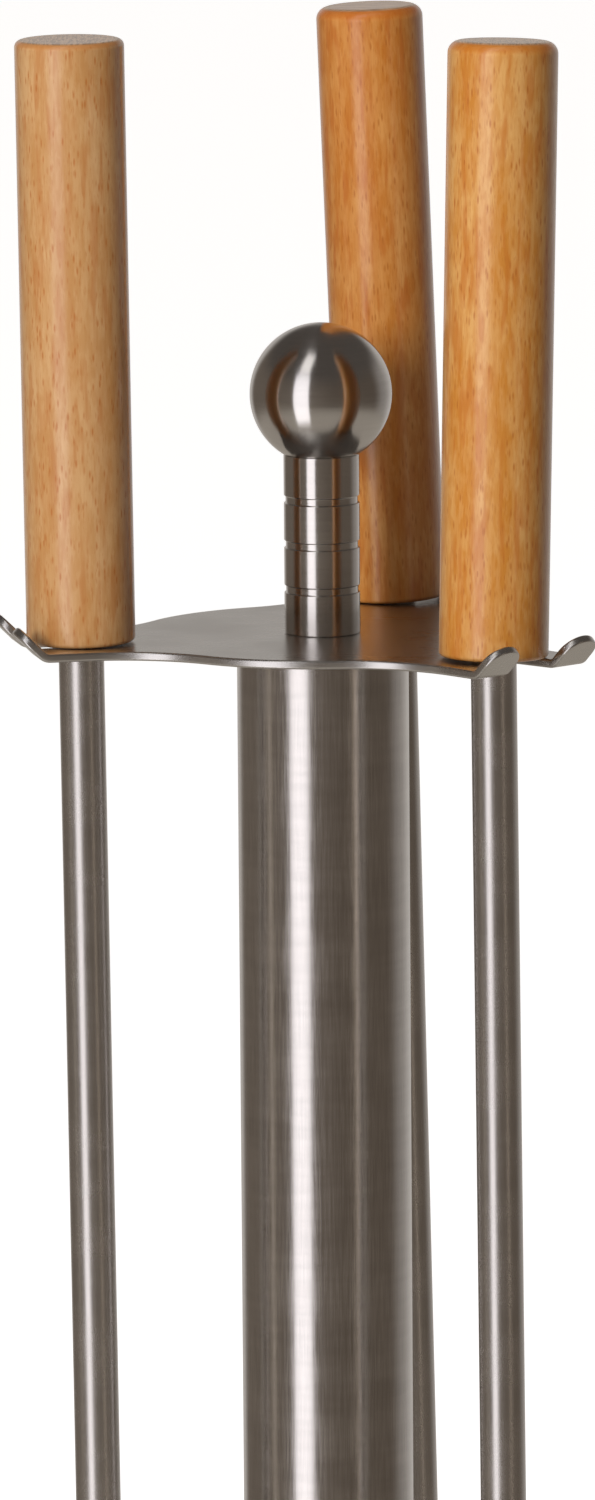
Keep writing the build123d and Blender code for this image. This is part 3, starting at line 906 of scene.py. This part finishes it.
@dataclass
class NeckAndBall:
    """The grooved neck and the ball knob on it."""

    edge: float = 0.4
    groove_count: int = 3
    groove_width: float = 2.0
    groove_depth: float = 0.5
    groove_round: float = 0.24
    ball_seam: float = 0.25  # softened edge where the ball sits on the neck
    ball_steps: int = 72

    def build(self) -> None:
        """Make the neck and the ball."""
        finish = BrushedSteel("neck_steel", Brushing.AROUND, roughness=0.19, anisotropy=0.6,
                              line_pitch=0.5, line_depth=0.0006, line_contrast=0.05)
        radius, height, place = upright("neck")
        add_piece(turned("neck_turned", self.neck_outline(radius, height), 128), finish.material(),
                  Body.STAND, "neck", place)
        polish = BrushedSteel("ball_steel", Brushing.AROUND, (0.57, 0.55, 0.53), 0.165, 0.9,
                              line_pitch=0.6, line_depth=0.0008, line_contrast=0.06)
        radius, height, place = upright("ball_knob")
        add_piece(turned("ball_turned", self.ball_outline(radius, height), 144), polish.material(),
                  Body.STAND, "ball_knob", place)

    def neck_outline(self, radius: float, length: float) -> list[Point]:
        """The neck's half outline, as (radius, height) points.

        Args:
            radius: The neck's radius between its grooves.
            length: Its length.

        Returns:
            The points, from the bottom up.
        """
        floor = radius - self.groove_depth
        corners = [(0, 0, 0), (radius, 0, self.edge)]
        for groove in range(1, self.groove_count + 1):
            middle = length * groove / (self.groove_count + 1)
            start, end = middle - self.groove_width / 2, middle + self.groove_width / 2
            for corner in ((radius, start), (floor, start), (floor, end), (radius, end)):
                corners.append((*corner, self.groove_round))
        corners += [(radius, length, self.edge), (0, length, 0)]
        return soften(corners, 4)

    def ball_outline(self, radius: float, height: float) -> list[Point]:
        """The ball's half outline, with the flat that it sits on, as (radius, height) points.

        Args:
            radius: The ball's radius.
            height: From the flat to the ball's top.

        Returns:
            The points, from the bottom up.
        """
        centre = height - radius
        foot = sqrt(radius ** 2 - centre ** 2)
        start = atan2(-centre, foot) + self.ball_seam / radius
        turns = [start + (pi / 2 - start) * step / self.ball_steps for step in range(self.ball_steps)]
        ball = [(radius * cos(t), centre + radius * sin(t)) for t in turns]
        return [(0, 0), (foot - self.ball_seam, 0), *ball, (0, centre + radius)]


# ---------------------------------------------------------------------- the tools


@dataclass
class Tool:
    """What the three tools share: a beech handle screwed to a steel rod."""

    body: Body
    rod_lean: Point  # degrees towards +X and towards +Y at the top
    handle_lean: Point
    facing: float  # degrees from +X that the working end faces
    beech: VarnishedBeech
    top_round: float = 3.5
    foot_round: float = 1.2
    rod_wall: float = 1.2
    rod_edge: float = 0.3
    rod_in_handle: float = 32.0
    bore_gap: float = 0.25
    bore_edge: float = 0.2

    def __post_init__(self) -> None:
        """Find the seat, where the rod's axis crosses the handle's foot, from the CAD rod."""
        low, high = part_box(self.node("rod"))
        up = self.up(self.rod_lean)
        self.rod_radius = self.bar_radius(low, high, up)
        tilt = sqrt(1 - up.z ** 2)
        self.rod_length = ((high.z - low.z) / MM - 2 * self.rod_radius * tilt) / up.z
        self.seat = (low + high) / 2 + up * (self.rod_length / 2 - self.rod_in_handle) * MM
        self.rod_place = self.axes(self.seat, self.rod_lean)
        self.reach = self.rod_length - self.rod_in_handle
        self.end_place = self.rod_place @ raised(-self.reach)

    def node(self, part: str) -> str:
        """The CAD node name of one of this tool's parts."""
        return f"{self.body.value}_{part}"

    def up(self, lean: Point) -> Vector:
        """The direction that leans by the given degrees from upright."""
        return Vector((tan(radians(lean[0])), tan(radians(lean[1])), 1.0)).normalized()

    def bar_radius(self, low: Vector, high: Vector, up: Vector) -> float:
        """The radius of a round bar that leans.

        Args:
            low: The lowest corner of its box.
            high: The highest corner of its box.
            up: The direction of its axis.

        Returns:
            The radius, in millimetres.
        """
        length = (high.z - low.z) / up.z
        width = (high.x - low.x) - abs(up.x) * length
        return width / 2 / sqrt(1 - up.x ** 2) / MM

    def axes(self, origin: Vector, lean: Point) -> Matrix:
        """Own axes at a point, with Z along the lean and X facing the tool's way.

        Args:
            origin: The point, in metres.
            lean: Degrees towards +X and towards +Y.

        Returns:
            The matrix that places a piece.
        """
        up = self.up(lean)
        ahead = Vector((cos(radians(self.facing)), sin(radians(self.facing)), 0.0))
        ahead = (ahead - up * ahead.dot(up)).normalized()
        place = Matrix((ahead, up.cross(ahead), up)).transposed().to_4x4()
        place.translation = origin
        return place

    def build(self) -> None:
        """Make the handle, the rod and the working end, and dress what they hide."""
        self.handle()
        self.rod()
        steel = BrushedSteel(self.node("fixings_steel"), Brushing.AROUND, (0.5, 0.49, 0.48), 0.35, 0.0)
        dress_nodes(steel, *self.fixings())
        self.working_end()

    def fixings(self) -> list[str]:
        """The CAD nodes of the steel pieces hidden inside the tool."""
        return [self.node("upper_plug"), self.node("handle_screw")]

    def handle(self) -> None:
        """The turned handle, bored for the rod."""
        up = self.up(self.handle_lean)
        low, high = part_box(self.node("handle"))
        radius = self.bar_radius(low, high, up)
        tilt = sqrt(1 - up.z ** 2)
        length = (high.z - self.seat.z) / MM / up.z - (radius - self.top_round) * tilt
        bore = self.rod_radius + self.bore_gap
        outline = soften([(0, self.rod_in_handle, 0), (bore, self.rod_in_handle, self.bore_edge),
                          (bore, 0, self.bore_edge), (radius, 0, self.foot_round),
                          (radius, length, self.top_round), (0, length, 0)], 12)
        add_piece(turned(self.node("handle_turned"), outline, 128), self.beech.material(), self.body,
                  self.node("handle"), self.axes(self.seat, self.handle_lean))

    def rod(self) -> None:
        """The steel rod, from inside the handle to the working end."""
        inner = self.rod_radius - self.rod_wall
        outline = tube_outline(inner, self.rod_radius, -self.reach, self.rod_in_handle, self.rod_edge)
        finish = BrushedSteel(self.node("rod_steel"), Brushing.ALONG, roughness=0.25, anisotropy=0.6,
                              line_depth=0.0005, line_contrast=0.05)
        add_piece(turned(self.node("rod_brushed"), outline, 96, closed=True), finish.material(),
                  self.body, self.node("rod"), self.rod_place)

    def working_end(self) -> None:
        """Make the tool's own end. Each tool has its own."""
        raise NotImplementedError


@dataclass
class Poker(Tool):
    """The poker: a solid spear tip with a hook set in its side."""

    tip_length: float = 116.0
    point_length: float = 50.0
    point_radius: float = 1.5
    shoulder_round: float = 3.0
    hook_radius: float = 4.0
    hook_height: float = 62.0
    hook_depth: float = 5.0
    hook_reach: float = 14.0
    hook_bend: float = 16.0
    hook_angle: float = 75.0
    hook_point: float = 13.0
    hook_taper: float = 12.0

    def fixings(self) -> list[str]:
        """The pieces hidden in the rod and handle, and the plug above the tip."""
        return [*super().fixings(), "poker_lower_plug"]

    def working_end(self) -> None:
        """Make the tip and the hook, which share one finish."""
        steel = BrushedSteel("poker_tip_steel", Brushing.AROUND, (0.5, 0.48, 0.46), 0.26, 0.3,
                             line_pitch=0.5, line_depth=0.001, line_contrast=0.08).material()
        add_piece(turned("poker_tip_turned", self.tip_outline(), 96), steel, self.body,
                  "poker_tip", self.end_place)
        path, radii = self.hook_path()
        add_piece(swept("poker_hook_bent", path, radii, Vector((0, 1, 0)), 40), steel, self.body,
                  "poker_hook", self.end_place)

    def tip_outline(self) -> list[Point]:
        """The tip's half outline, its blunt point first.

        Returns:
            (radius, height) points in millimetres.
        """
        end = -self.tip_length
        return soften([(0, end, 0), (self.point_radius, end, self.point_radius * 0.7),
                       (self.rod_radius, end + self.point_length, self.shoulder_round),
                       (self.rod_radius, 0, self.rod_edge), (0, 0, 0)], 8)

    def hook_path(self) -> tuple[list[Vector], list[float]]:
        """The hook's middle line and its radius along it: straight out, a bend up, then a point.

        Returns:
            The points, in millimetres, and the radii.
        """
        root = self.hook_height - self.tip_length
        swing = radians(self.hook_angle)
        shrink = tan(radians(self.hook_taper))
        path = [Vector((-self.hook_depth, 0, root)), Vector((0, 0, root))]
        middle = Vector((self.hook_reach, root + self.hook_bend))
        bend = arc(middle, self.hook_bend, -pi / 2, swing - pi / 2, 24)
        path += [Vector((x, 0, z)) for x, z in bend]
        radii = [self.hook_radius] * len(path)
        heading = Vector((cos(swing), 0, sin(swing)))
        start = path[-1]
        lengths = [self.hook_point * step / 8 for step in range(1, 8)]
        path += [start + heading * length for length in lengths]
        radii += [self.hook_radius - length * shrink for length in lengths]
        blunt = self.hook_radius - self.hook_point * shrink
        turns = [pi / 2 * step / 6 for step in range(1, 6)]
        path += [start + heading * (self.hook_point - blunt * (1 - sin(t))) for t in turns]
        radii += [blunt * cos(t) for t in turns]
        return path, radii


@dataclass
class Shovel(Tool):
    """The shovel: a socket with a flat tongue, and a folded pan riveted to it."""

    socket_radius: float = 8.5
    socket_gap: float = 0.1
    socket_overlap: float = 23.0
    socket_floor: float = 8.0
    lip_round: float = 0.6
    taper_length: float = 25.0
    tongue_width: float = 22.0
    tongue_thickness: float = 4.0
    tongue_length: float = 77.0
    tongue_edge: float = 0.8
    pan_drop: float = 50.0
    pan_length: float = 130.0
    back_width: float = 100.0
    mouth_width: float = 112.0
    back_depth: float = 24.0
    mouth_depth: float = 8.0
    pan_sheet: float = 1.5
    corner_round: float = 14.0
    floor_round: float = 5.0
    rim_round: float = 0.45
    wall_step: float = 6.0  # between points along the pan's walls
    section_points: int = 64
    rivet_head: float = 4.5
    rivet_shank: float = 2.5
    rivet_dome: float = 1.8
    rivet_drop: float = 12.0
    rivet_spacing: float = 30.0

    def fixings(self) -> list[str]:
        """The pieces hidden in the rod and handle, and the pin through the socket."""
        return [*super().fixings(), "socket_pin"]

    def working_end(self) -> None:
        """Make the socket, the pan and the rivets."""
        socket = BrushedSteel("socket_steel", Brushing.ALONG, (0.5, 0.48, 0.46), 0.26, 0.0)
        add_piece(self.socket_mesh(), socket.material(), self.body, "shovel_socket",
                  self.end_place)
        sheet = BrushedSteel("pan_steel", Brushing.ALONG, (0.52, 0.50, 0.48), 0.28, 0.0, line_pitch=0.5,
                             line_length=40.0, line_depth=0.002)
        add_piece(self.pan_mesh(), sheet.material(), self.body, "shovel_pan", self.end_place)
        rivet = BrushedSteel("rivet_steel", Brushing.AROUND, (0.55, 0.53, 0.5), 0.22, 0.0).material()
        for index in range(2):
            drop = self.pan_drop + self.rivet_drop + index * self.rivet_spacing
            across = raised(-drop) @ Matrix.Rotation(pi / 2, 4, "Y")
            add_piece(self.rivet_mesh(index + 1), rivet, self.body, "shovel_rivets",
                      self.end_place @ across)

    def section(self, half_x: float, half_y: float, corner: float, height: float) -> list[Vector]:
        """A ring that is a rectangle with round corners, or a circle where the corners meet.

        Args:
            half_x: Half its size along X.
            half_y: Half its size along Y.
            corner: The corners' radius.
            height: The ring's height.

        Returns:
            The ring's points, in millimetres.
        """
        points = []
        per_corner = self.section_points // 4
        for quarter in range(4):
            sign_x = 1 if quarter in (0, 3) else -1
            sign_y = 1 if quarter in (0, 1) else -1
            for step in range(per_corner):
                turn = pi / 2 * (quarter + (step + 0.5) / per_corner)
                x = sign_x * (half_x - corner) + corner * cos(turn)
                y = sign_y * (half_y - corner) + corner * sin(turn)
                points.append(Vector((x, y, height)))
        return points

    def socket_mesh(self) -> bpy.types.Mesh:
        """The socket: a round cup that flattens into the tongue.

        Returns:
            The mesh.
        """
        outer, edge, lip = self.socket_radius, self.tongue_edge, self.lip_round
        bore = self.rod_radius + self.socket_gap
        half_x, half_y = self.tongue_thickness / 2, self.tongue_width / 2
        cup = [(bore, 0), (bore, self.socket_overlap)]
        cup += arc(Vector((outer - lip, self.socket_overlap - lip)), lip, pi / 2, 0, 4)
        cup += [(outer, 0)]
        rings = [self.section(radius, radius, radius, height) for radius, height in cup]
        for step in range(13):
            share = step / 12
            ease = share * share * (3 - 2 * share)
            x, y, corner = (outer + (size - outer) * ease for size in (half_x, half_y, edge))
            height = -self.socket_floor - self.taper_length * share
            rings.append(self.section(x, y, min(corner, x), height))
        tongue_end = -self.socket_floor - self.taper_length - self.tongue_length
        foot = self.tongue_width / 3
        for y, height in arc(Vector((half_y - foot, tongue_end + foot)), foot, 0, -pi / 2, 9):
            rings.append(self.section(half_x, y, edge, height))
        sheet = bmesh.new()
        skin(sheet, rings)
        sheet.verts.ensure_lookup_table()
        for end in (sheet.verts[:self.section_points], sheet.verts[-self.section_points:]):
            sheet.faces.new(end)
        return shaded("shovel_socket_forged", sheet)

    def pan_path(self) -> list[tuple[Vector, Vector]]:
        """The pan's wall line in plan and its inward direction at each point.

        Returns:
            For each point from one mouth corner to the other, its (across, height) in millimetres
            and the direction that points inward there.
        """
        low, high = -self.pan_drop - self.pan_length, -self.pan_drop
        mouth, back = self.mouth_width / 2, self.back_width / 2
        corners = [(-mouth, low, 0), (-back, high, self.corner_round), (back, high, self.corner_round),
                   (mouth, low, 0)]
        coarse = [Vector(p) for p in soften(corners, 14)]
        points = []
        for start, end in zip(coarse, coarse[1:]):
            parts = max(1, round((end - start).length / self.wall_step))
            points += [start.lerp(end, step / parts) for step in range(parts)]
        points.append(coarse[-1])
        path = []
        for index, point in enumerate(points):
            ahead = points[min(index + 1, len(points) - 1)] - points[max(index - 1, 0)]
            path.append((point, Vector((ahead.y, -ahead.x)).normalized()))
        return path

    def pan_mesh(self) -> bpy.types.Mesh:
        """The pan: a floor, a back and two sides of folded sheet, with rounded folds and edges.

        Returns:
            The mesh.
        """
        floor, fold = self.tongue_thickness / 2, self.floor_round
        low = -self.pan_drop - self.pan_length
        sheet = bmesh.new()
        rows = []
        for point, inward in self.pan_path():
            share = (point.y - low) / self.pan_length
            depth = self.mouth_depth + (self.back_depth - self.mouth_depth) * share
            column = [Vector((floor + height, point.x, point.y)) for height in (depth, fold)]
            for step in range(1, 9):
                turn = pi / 2 * step / 8
                place = point + inward * fold * (1 - cos(turn))
                column.append(Vector((floor + fold * (1 - sin(turn)), place.x, max(place.y, low))))
            rows.append([sheet.verts.new(p * MM) for p in column])
        for before, after in zip(rows, rows[1:]):
            for step in range(len(before) - 1):
                sheet.faces.new((before[step], before[step + 1], after[step + 1], after[step]))
        sheet.faces.new([row[-1] for row in rows])
        bmesh.ops.recalc_face_normals(sheet, faces=sheet.faces)
        inside = sum(f.normal.x * f.calc_area() for f in sheet.faces)
        if inside > 0:
            bmesh.ops.reverse_faces(sheet, faces=sheet.faces)
        bmesh.ops.solidify(sheet, geom=sheet.faces, thickness=self.pan_sheet * MM)
        rim = [e for e in sheet.edges if len(e.link_faces) == 2 and e.calc_face_angle(0.0) > radians(50)]
        bmesh.ops.bevel(sheet, geom=rim, offset=self.rim_round * MM, segments=3, profile=0.5,
                        affect="EDGES", clamp_overlap=True)
        return shaded("shovel_pan_folded", sheet)

    def rivet_mesh(self, number: int) -> bpy.types.Mesh:
        """One rivet, its two domed heads at the back of the tongue and inside the pan.

        Args:
            number: The rivet's number, for its name.

        Returns:
            The mesh.
        """
        low, high = -self.tongue_thickness / 2, self.tongue_thickness / 2 + self.pan_sheet
        turns = [pi / 2 * step / 8 for step in range(9)]
        dome = [(self.rivet_head * sin(t), self.rivet_dome * cos(t)) for t in turns]
        outline = [(r, low - h) for r, h in dome] + [(self.rivet_shank, low), (self.rivet_shank, high)]
        outline += [(r, high + h) for r, h in reversed(dome)]
        return turned(f"shovel_rivet_{number}", outline, 48)


@dataclass
class Brush(Tool):
    """The brush: a steel cap packed with stiff fibres that spread below it."""

    cap_radius: float = 25.0
    cap_height: float = 26.0
    cap_sheet: float = 1.5
    cap_round: float = 5.0
    cap_lip: float = 0.5
    screw_hole: float = 3.05
    core_height: float = 17.0
    bristle_gap: float = 0.8
    root_gap: float = 0.1
    bristle_length: float = 116.0
    spread_radius: float = 33.0
    strand_count: int = 2600
    strand_radius: float = 0.42
    strand_rings: int = 7
    strand_sides: int = 5
    strand_thinning: float = 0.45  # how much of its radius a strand loses by its tip
    strand_lean: float = 1.3  # millimetres that a middle strand may lean
    strand_ripple: float = 0.35  # millimetres
    tip_length: float = 0.5

    def fixings(self) -> list[str]:
        """The pieces hidden in the rod and handle, and the plug and screw that hold the brush."""
        return [*super().fixings(), "brush_lower_plug", "brush_screw"]

    def working_end(self) -> None:
        """Make the cap and the bristles, and dress the core."""
        wood = MatteStock("core_wood", (0.45, 0.30, 0.17), (0.32, 0.2, 0.1), 0.7, stretch=12.0)
        dress_nodes(wood, "brush_core")
        cap = BrushedSteel("cap_steel", Brushing.AROUND, (0.56, 0.54, 0.52), 0.2, 0.5)
        add_piece(turned("brush_cap_spun", self.cap_outline(), 128, closed=True), cap.material(),
                  self.body, "brush_cap", self.end_place)
        add_piece(self.bristle_mesh(), BristleFibre().material(), self.body,
                  "brush_bristles", self.end_place, flat_faces=False)

    def cap_outline(self) -> list[Point]:
        """The cap's half outline, a loop.

        Returns:
            (radius, height) points in millimetres.
        """
        inner, hole, lip = self.cap_radius - self.cap_sheet, self.screw_hole, self.cap_lip
        return soften([(hole, -self.cap_sheet, 0), (inner, -self.cap_sheet, self.cap_round - self.cap_sheet),
                       (inner, -self.cap_height, lip), (self.cap_radius, -self.cap_height, lip),
                       (self.cap_radius, 0, self.cap_round), (hole, 0, 0)], 8)

    def bristle_mesh(self) -> bpy.types.Mesh:
        """The bristles, strand by strand, evenly packed and each a little bent and uneven.

        Returns:
            The mesh.
        """
        chance = Random(41)
        golden = pi * (3 - sqrt(5))
        sheet = bmesh.new()
        for index in range(self.strand_count):
            share = sqrt((index + 0.5) / self.strand_count)
            turn = index * golden + chance.uniform(-0.05, 0.05)
            skin(sheet, self.strand(share, turn, chance))
        return shaded("brush_bristles_packed", sheet)

    def strand(self, share: float, turn: float, chance: Random) -> list[list[Vector]]:
        """One strand, straight inside the cap and spreading below it.

        Args:
            share: How far out it is rooted, from 0 in the middle to 1 at the edge.
            turn: The direction of its root from the middle, in radians.
            chance: The source of its unevenness.

        Returns:
            Its rings from root to tip, in millimetres, with one point at each end.
        """
        root_radius = self.cap_radius - self.cap_sheet - self.bristle_gap - self.strand_radius
        top = -self.cap_sheet - self.core_height - self.root_gap
        straight_end = -self.cap_height
        bottom = -self.cap_sheet - self.core_height - self.bristle_length
        root = Vector((cos(turn), sin(turn), 0)) * root_radius * share
        spread = self.spread_radius * 0.97 / root_radius * chance.uniform(0.93, 1.0)
        length = 1 - chance.uniform(0.0, 0.045) - 0.02 * share ** 4
        lean = Vector((chance.uniform(-1, 1), chance.uniform(-1, 1), 0)) * self.strand_lean * (1 - share)
        ripple_turn = chance.uniform(0, 2 * pi)
        ripple = Vector((cos(ripple_turn), sin(ripple_turn), 0)) * self.strand_ripple
        rings = []
        for step in range(self.strand_rings):
            down = step / (self.strand_rings - 1) * length
            height = top + (bottom - top) * down
            past = max(0.0, (straight_end - height) / (straight_end - bottom))
            middle = root * (1 + (spread - 1) * past ** 1.15)
            middle = middle + lean * past ** 2 + ripple * sin(2 * pi * down) + Vector((0, 0, height))
            radius = self.strand_radius * (1 - self.strand_thinning * down)
            rings.append([middle + point for point in ring(radius, 0.0, self.strand_sides)])
        tip = sum(rings[-1], Vector()) / self.strand_sides + Vector((0, 0, -self.tip_length))
        return [[rings[0][0].lerp(rings[0][2], 0.5)], *rings, [tip]]


# ---------------------------------------------------------------------- studio


@dataclass(frozen=True)
class Softbox:
    """A rectangular light that faces the column."""

    name: str
    azimuth: float  # degrees round the column from the camera, towards the view's right
    distance: float  # metres from the column
    width: float  # metres
    height: float  # metres
    middle: float  # how high its middle hangs, in metres
    radiance: float  # how bright its face is
    colour: Colour
    tilt: float = 0.0  # degrees that it is tipped to face down
    mirrored: bool = True  # whether it shows in reflections

    def hang(self) -> None:
        """Add the light to the scene."""
        data = bpy.data.lights.new(self.name, "AREA")
        data.shape = "RECTANGLE"
        data.size, data.size_y = self.width, self.height
        data.energy = self.radiance * pi * self.width * self.height
        data.color = self.colour
        light = bpy.data.objects.new(self.name, data)
        turn = radians(self.azimuth)
        light.location = (sin(turn) * self.distance, -cos(turn) * self.distance, self.middle)
        light.rotation_euler = (pi / 2 - radians(self.tilt), 0.0, turn)
        light.visible_camera = False
        light.visible_glossy = self.mirrored
        bpy.context.scene.collection.objects.link(light)


@dataclass
class Studio:
    """A pale floor, soft lights, a dim warm room round them, and the camera."""

    aim: Vector  # metres
    distance: float = 2.8533  # metres
    pitch: float = 9.054  # degrees down
    yaw: float = 0.255  # degrees
    roll: float = -0.428  # degrees
    lens: float = 243.14  # millimetres, on a 36 mm sensor
    floor_radius: float = 40.0  # metres
    lights: tuple[Softbox, ...] = (
        Softbox("key_softbox", -32.5, 1.5, 0.68, 2.3, 0.42, 1.55, (0.985, 0.97, 1.03)),
        Softbox("key_wash", -28.0, 2.2, 0.36, 0.7, 1.1, 43.0, (1.0, 0.97, 0.94), mirrored=False),
        Softbox("overhead_wash", -20.0, 0.5, 1.2, 1.2, 2.6, 3.2, (1.0, 0.98, 0.95), 78.0, mirrored=False),
        Softbox("key_upper", -32.5, 1.1, 0.5, 1.3, 2.2, 1.3, (1.0, 0.98, 0.97), 30.0),
        Softbox("left_edge_strip", -77.0, 1.8, 0.07, 1.6, 0.6, 0.7, (1.0, 0.9, 0.78)),
        Softbox("right_edge_strip", 44.0, 2.0, 0.09, 1.9, 0.5, 1.0, (1.0, 0.86, 0.72)))

    def build(self) -> None:
        """Set up the camera, the floor, the room and the lights."""
        self.camera()
        self.floor()
        self.room()
        for light in self.lights:
            light.hang()
        bpy.context.scene.view_settings.view_transform = "Standard"

    def camera(self) -> None:
        """The camera, at the set's usual viewing angle, aimed just below the hanger plate."""
        pitch, yaw, roll = radians(self.pitch), radians(self.yaw), radians(self.roll)
        ahead = Vector((-sin(yaw) * cos(pitch), cos(yaw) * cos(pitch), -sin(pitch)))
        right = ahead.cross(Vector((0, 0, 1))).normalized()
        up = right.cross(ahead)
        across = right * cos(roll) + up * sin(roll)
        upward = up * cos(roll) - right * sin(roll)
        data = bpy.data.cameras.new("camera")
        data.lens = self.lens
        data.sensor_width = 36.0
        data.clip_start, data.clip_end = 0.1, 200.0
        camera = bpy.data.objects.new("camera", data)
        place = Matrix((across, upward, -ahead)).transposed().to_4x4()
        place.translation = self.aim - ahead * self.distance
        camera.matrix_world = place
        bpy.context.scene.collection.objects.link(camera)
        bpy.context.scene.camera = camera

    def floor(self) -> None:
        """A pale floor that glows evenly, with ambient occlusion dimming its glow round the base into a
        painted contact shadow.
        """
        sheet = bmesh.new()
        bmesh.ops.create_circle(sheet, cap_ends=True, segments=96, radius=self.floor_radius)
        mesh = bpy.data.meshes.new("floor")
        sheet.to_mesh(mesh)
        sheet.free()
        paper = new_sheet("floor_paper")
        # Painted contact shadow: ambient occlusion dims the floor's glow where the object stands close by.
        painted_contact_shadow = paper.add("AmbientOcclusion", distance=0.16)
        painted_contact_shadow.samples = 8
        glow_with_painted_shadow = paper.reckon("POWER", painted_contact_shadow.outputs["AO"], 1.6)
        paper.settle(base_color=(0.8, 0.8, 0.8, 1.0), roughness=0.9, emission_color=glow_with_painted_shadow,
                     emission_strength=0.9)
        mesh.materials.append(paper.owner)
        floor = bpy.data.objects.new("floor", mesh)
        bpy.context.scene.collection.objects.link(floor)
        floor.visible_glossy = False
        floor.visible_diffuse = False
        floor.visible_shadow = False

    def room(self) -> None:
        """The room: dim and warm, with a pale wall behind and a pale floor, and white to the camera."""
        world = bpy.data.worlds.new("room")
        bpy.context.scene.world = world
        sheet = NodeSheet(world, "Background")
        x, y, z = sheet.parts(sheet.add("TexCoord").outputs["Generated"])
        from_back = sheet.reckon("ARCTAN2", x, y)
        path = sheet.add("LightPath").outputs
        mirrored = sheet.reckon("SUBTRACT", 1.0, path["Is Diffuse Ray"])
        room = sheet.tint(sheet.ramp(x, -0.3, 0.5), (0.172, 0.143, 0.118), (0.122, 0.098, 0.078))
        wall = sheet.product(sheet.ramp(from_back, radians(-42), radians(-24)),
                             sheet.ramp(from_back, radians(86), radians(56)))
        across_wall = sheet.ramp(from_back, radians(60), radians(25))
        paint = sheet.tint(across_wall, (0.33, 0.305, 0.285), (0.56, 0.53, 0.50))
        room = sheet.tint(sheet.product(wall, mirrored), room, paint)
        room = sheet.tint(sheet.ramp(z, -0.24, -0.42), room, (0.42, 0.38, 0.33))
        ceiling = sheet.product(sheet.ramp(z, 0.2, 0.55), mirrored)
        room = sheet.tint(ceiling, room, (0.095, 0.083, 0.074))
        room = sheet.tint(sheet.product(path["Is Diffuse Ray"], 0.3), room, (0.0, 0.0, 0.0))
        sheet.settle(color=sheet.tint(path["Is Camera Ray"], room, (1.0, 1.0, 1.0)))


# ---------------------------------------------------------------------- the whole set


def main() -> None:
    """Build the stand, the three tools and the studio."""
    logging.basicConfig(level=logging.INFO, format="%(message)s")
    plate_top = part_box("neck")[0].z
    Studio(aim=Vector((-0.0073, 0.0, plate_top - 0.0335))).build()
    for part in (Base(), Column(), HangerPlate(), NeckAndBall()):
        part.build()
    pale_beech = VarnishedBeech("beech_pale", (0.61, 0.365, 0.165), (0.51, 0.255, 0.085), 3.0)
    warm_beech = VarnishedBeech("beech_warm", (0.69, 0.38, 0.125), (0.55, 0.215, 0.028), 41.0)
    deep_beech = VarnishedBeech("beech_deep", (0.66, 0.31, 0.085), (0.53, 0.18, 0.022), 87.0)
    Shovel(Body.SHOVEL, rod_lean=(-0.5, -1.0), handle_lean=(-0.5, -1.0), facing=180.0, beech=pale_beech,
           top_round=2.0).build()
    Poker(Body.POKER, rod_lean=(-0.4, 1.0), handle_lean=(1.15, 1.0), facing=0.0, beech=warm_beech).build()
    Brush(Body.BRUSH, rod_lean=(-1.1, -1.0), handle_lean=(-2.0, -1.0), facing=90.0, beech=deep_beech).build()


if __name__ == "__main__":
    main()
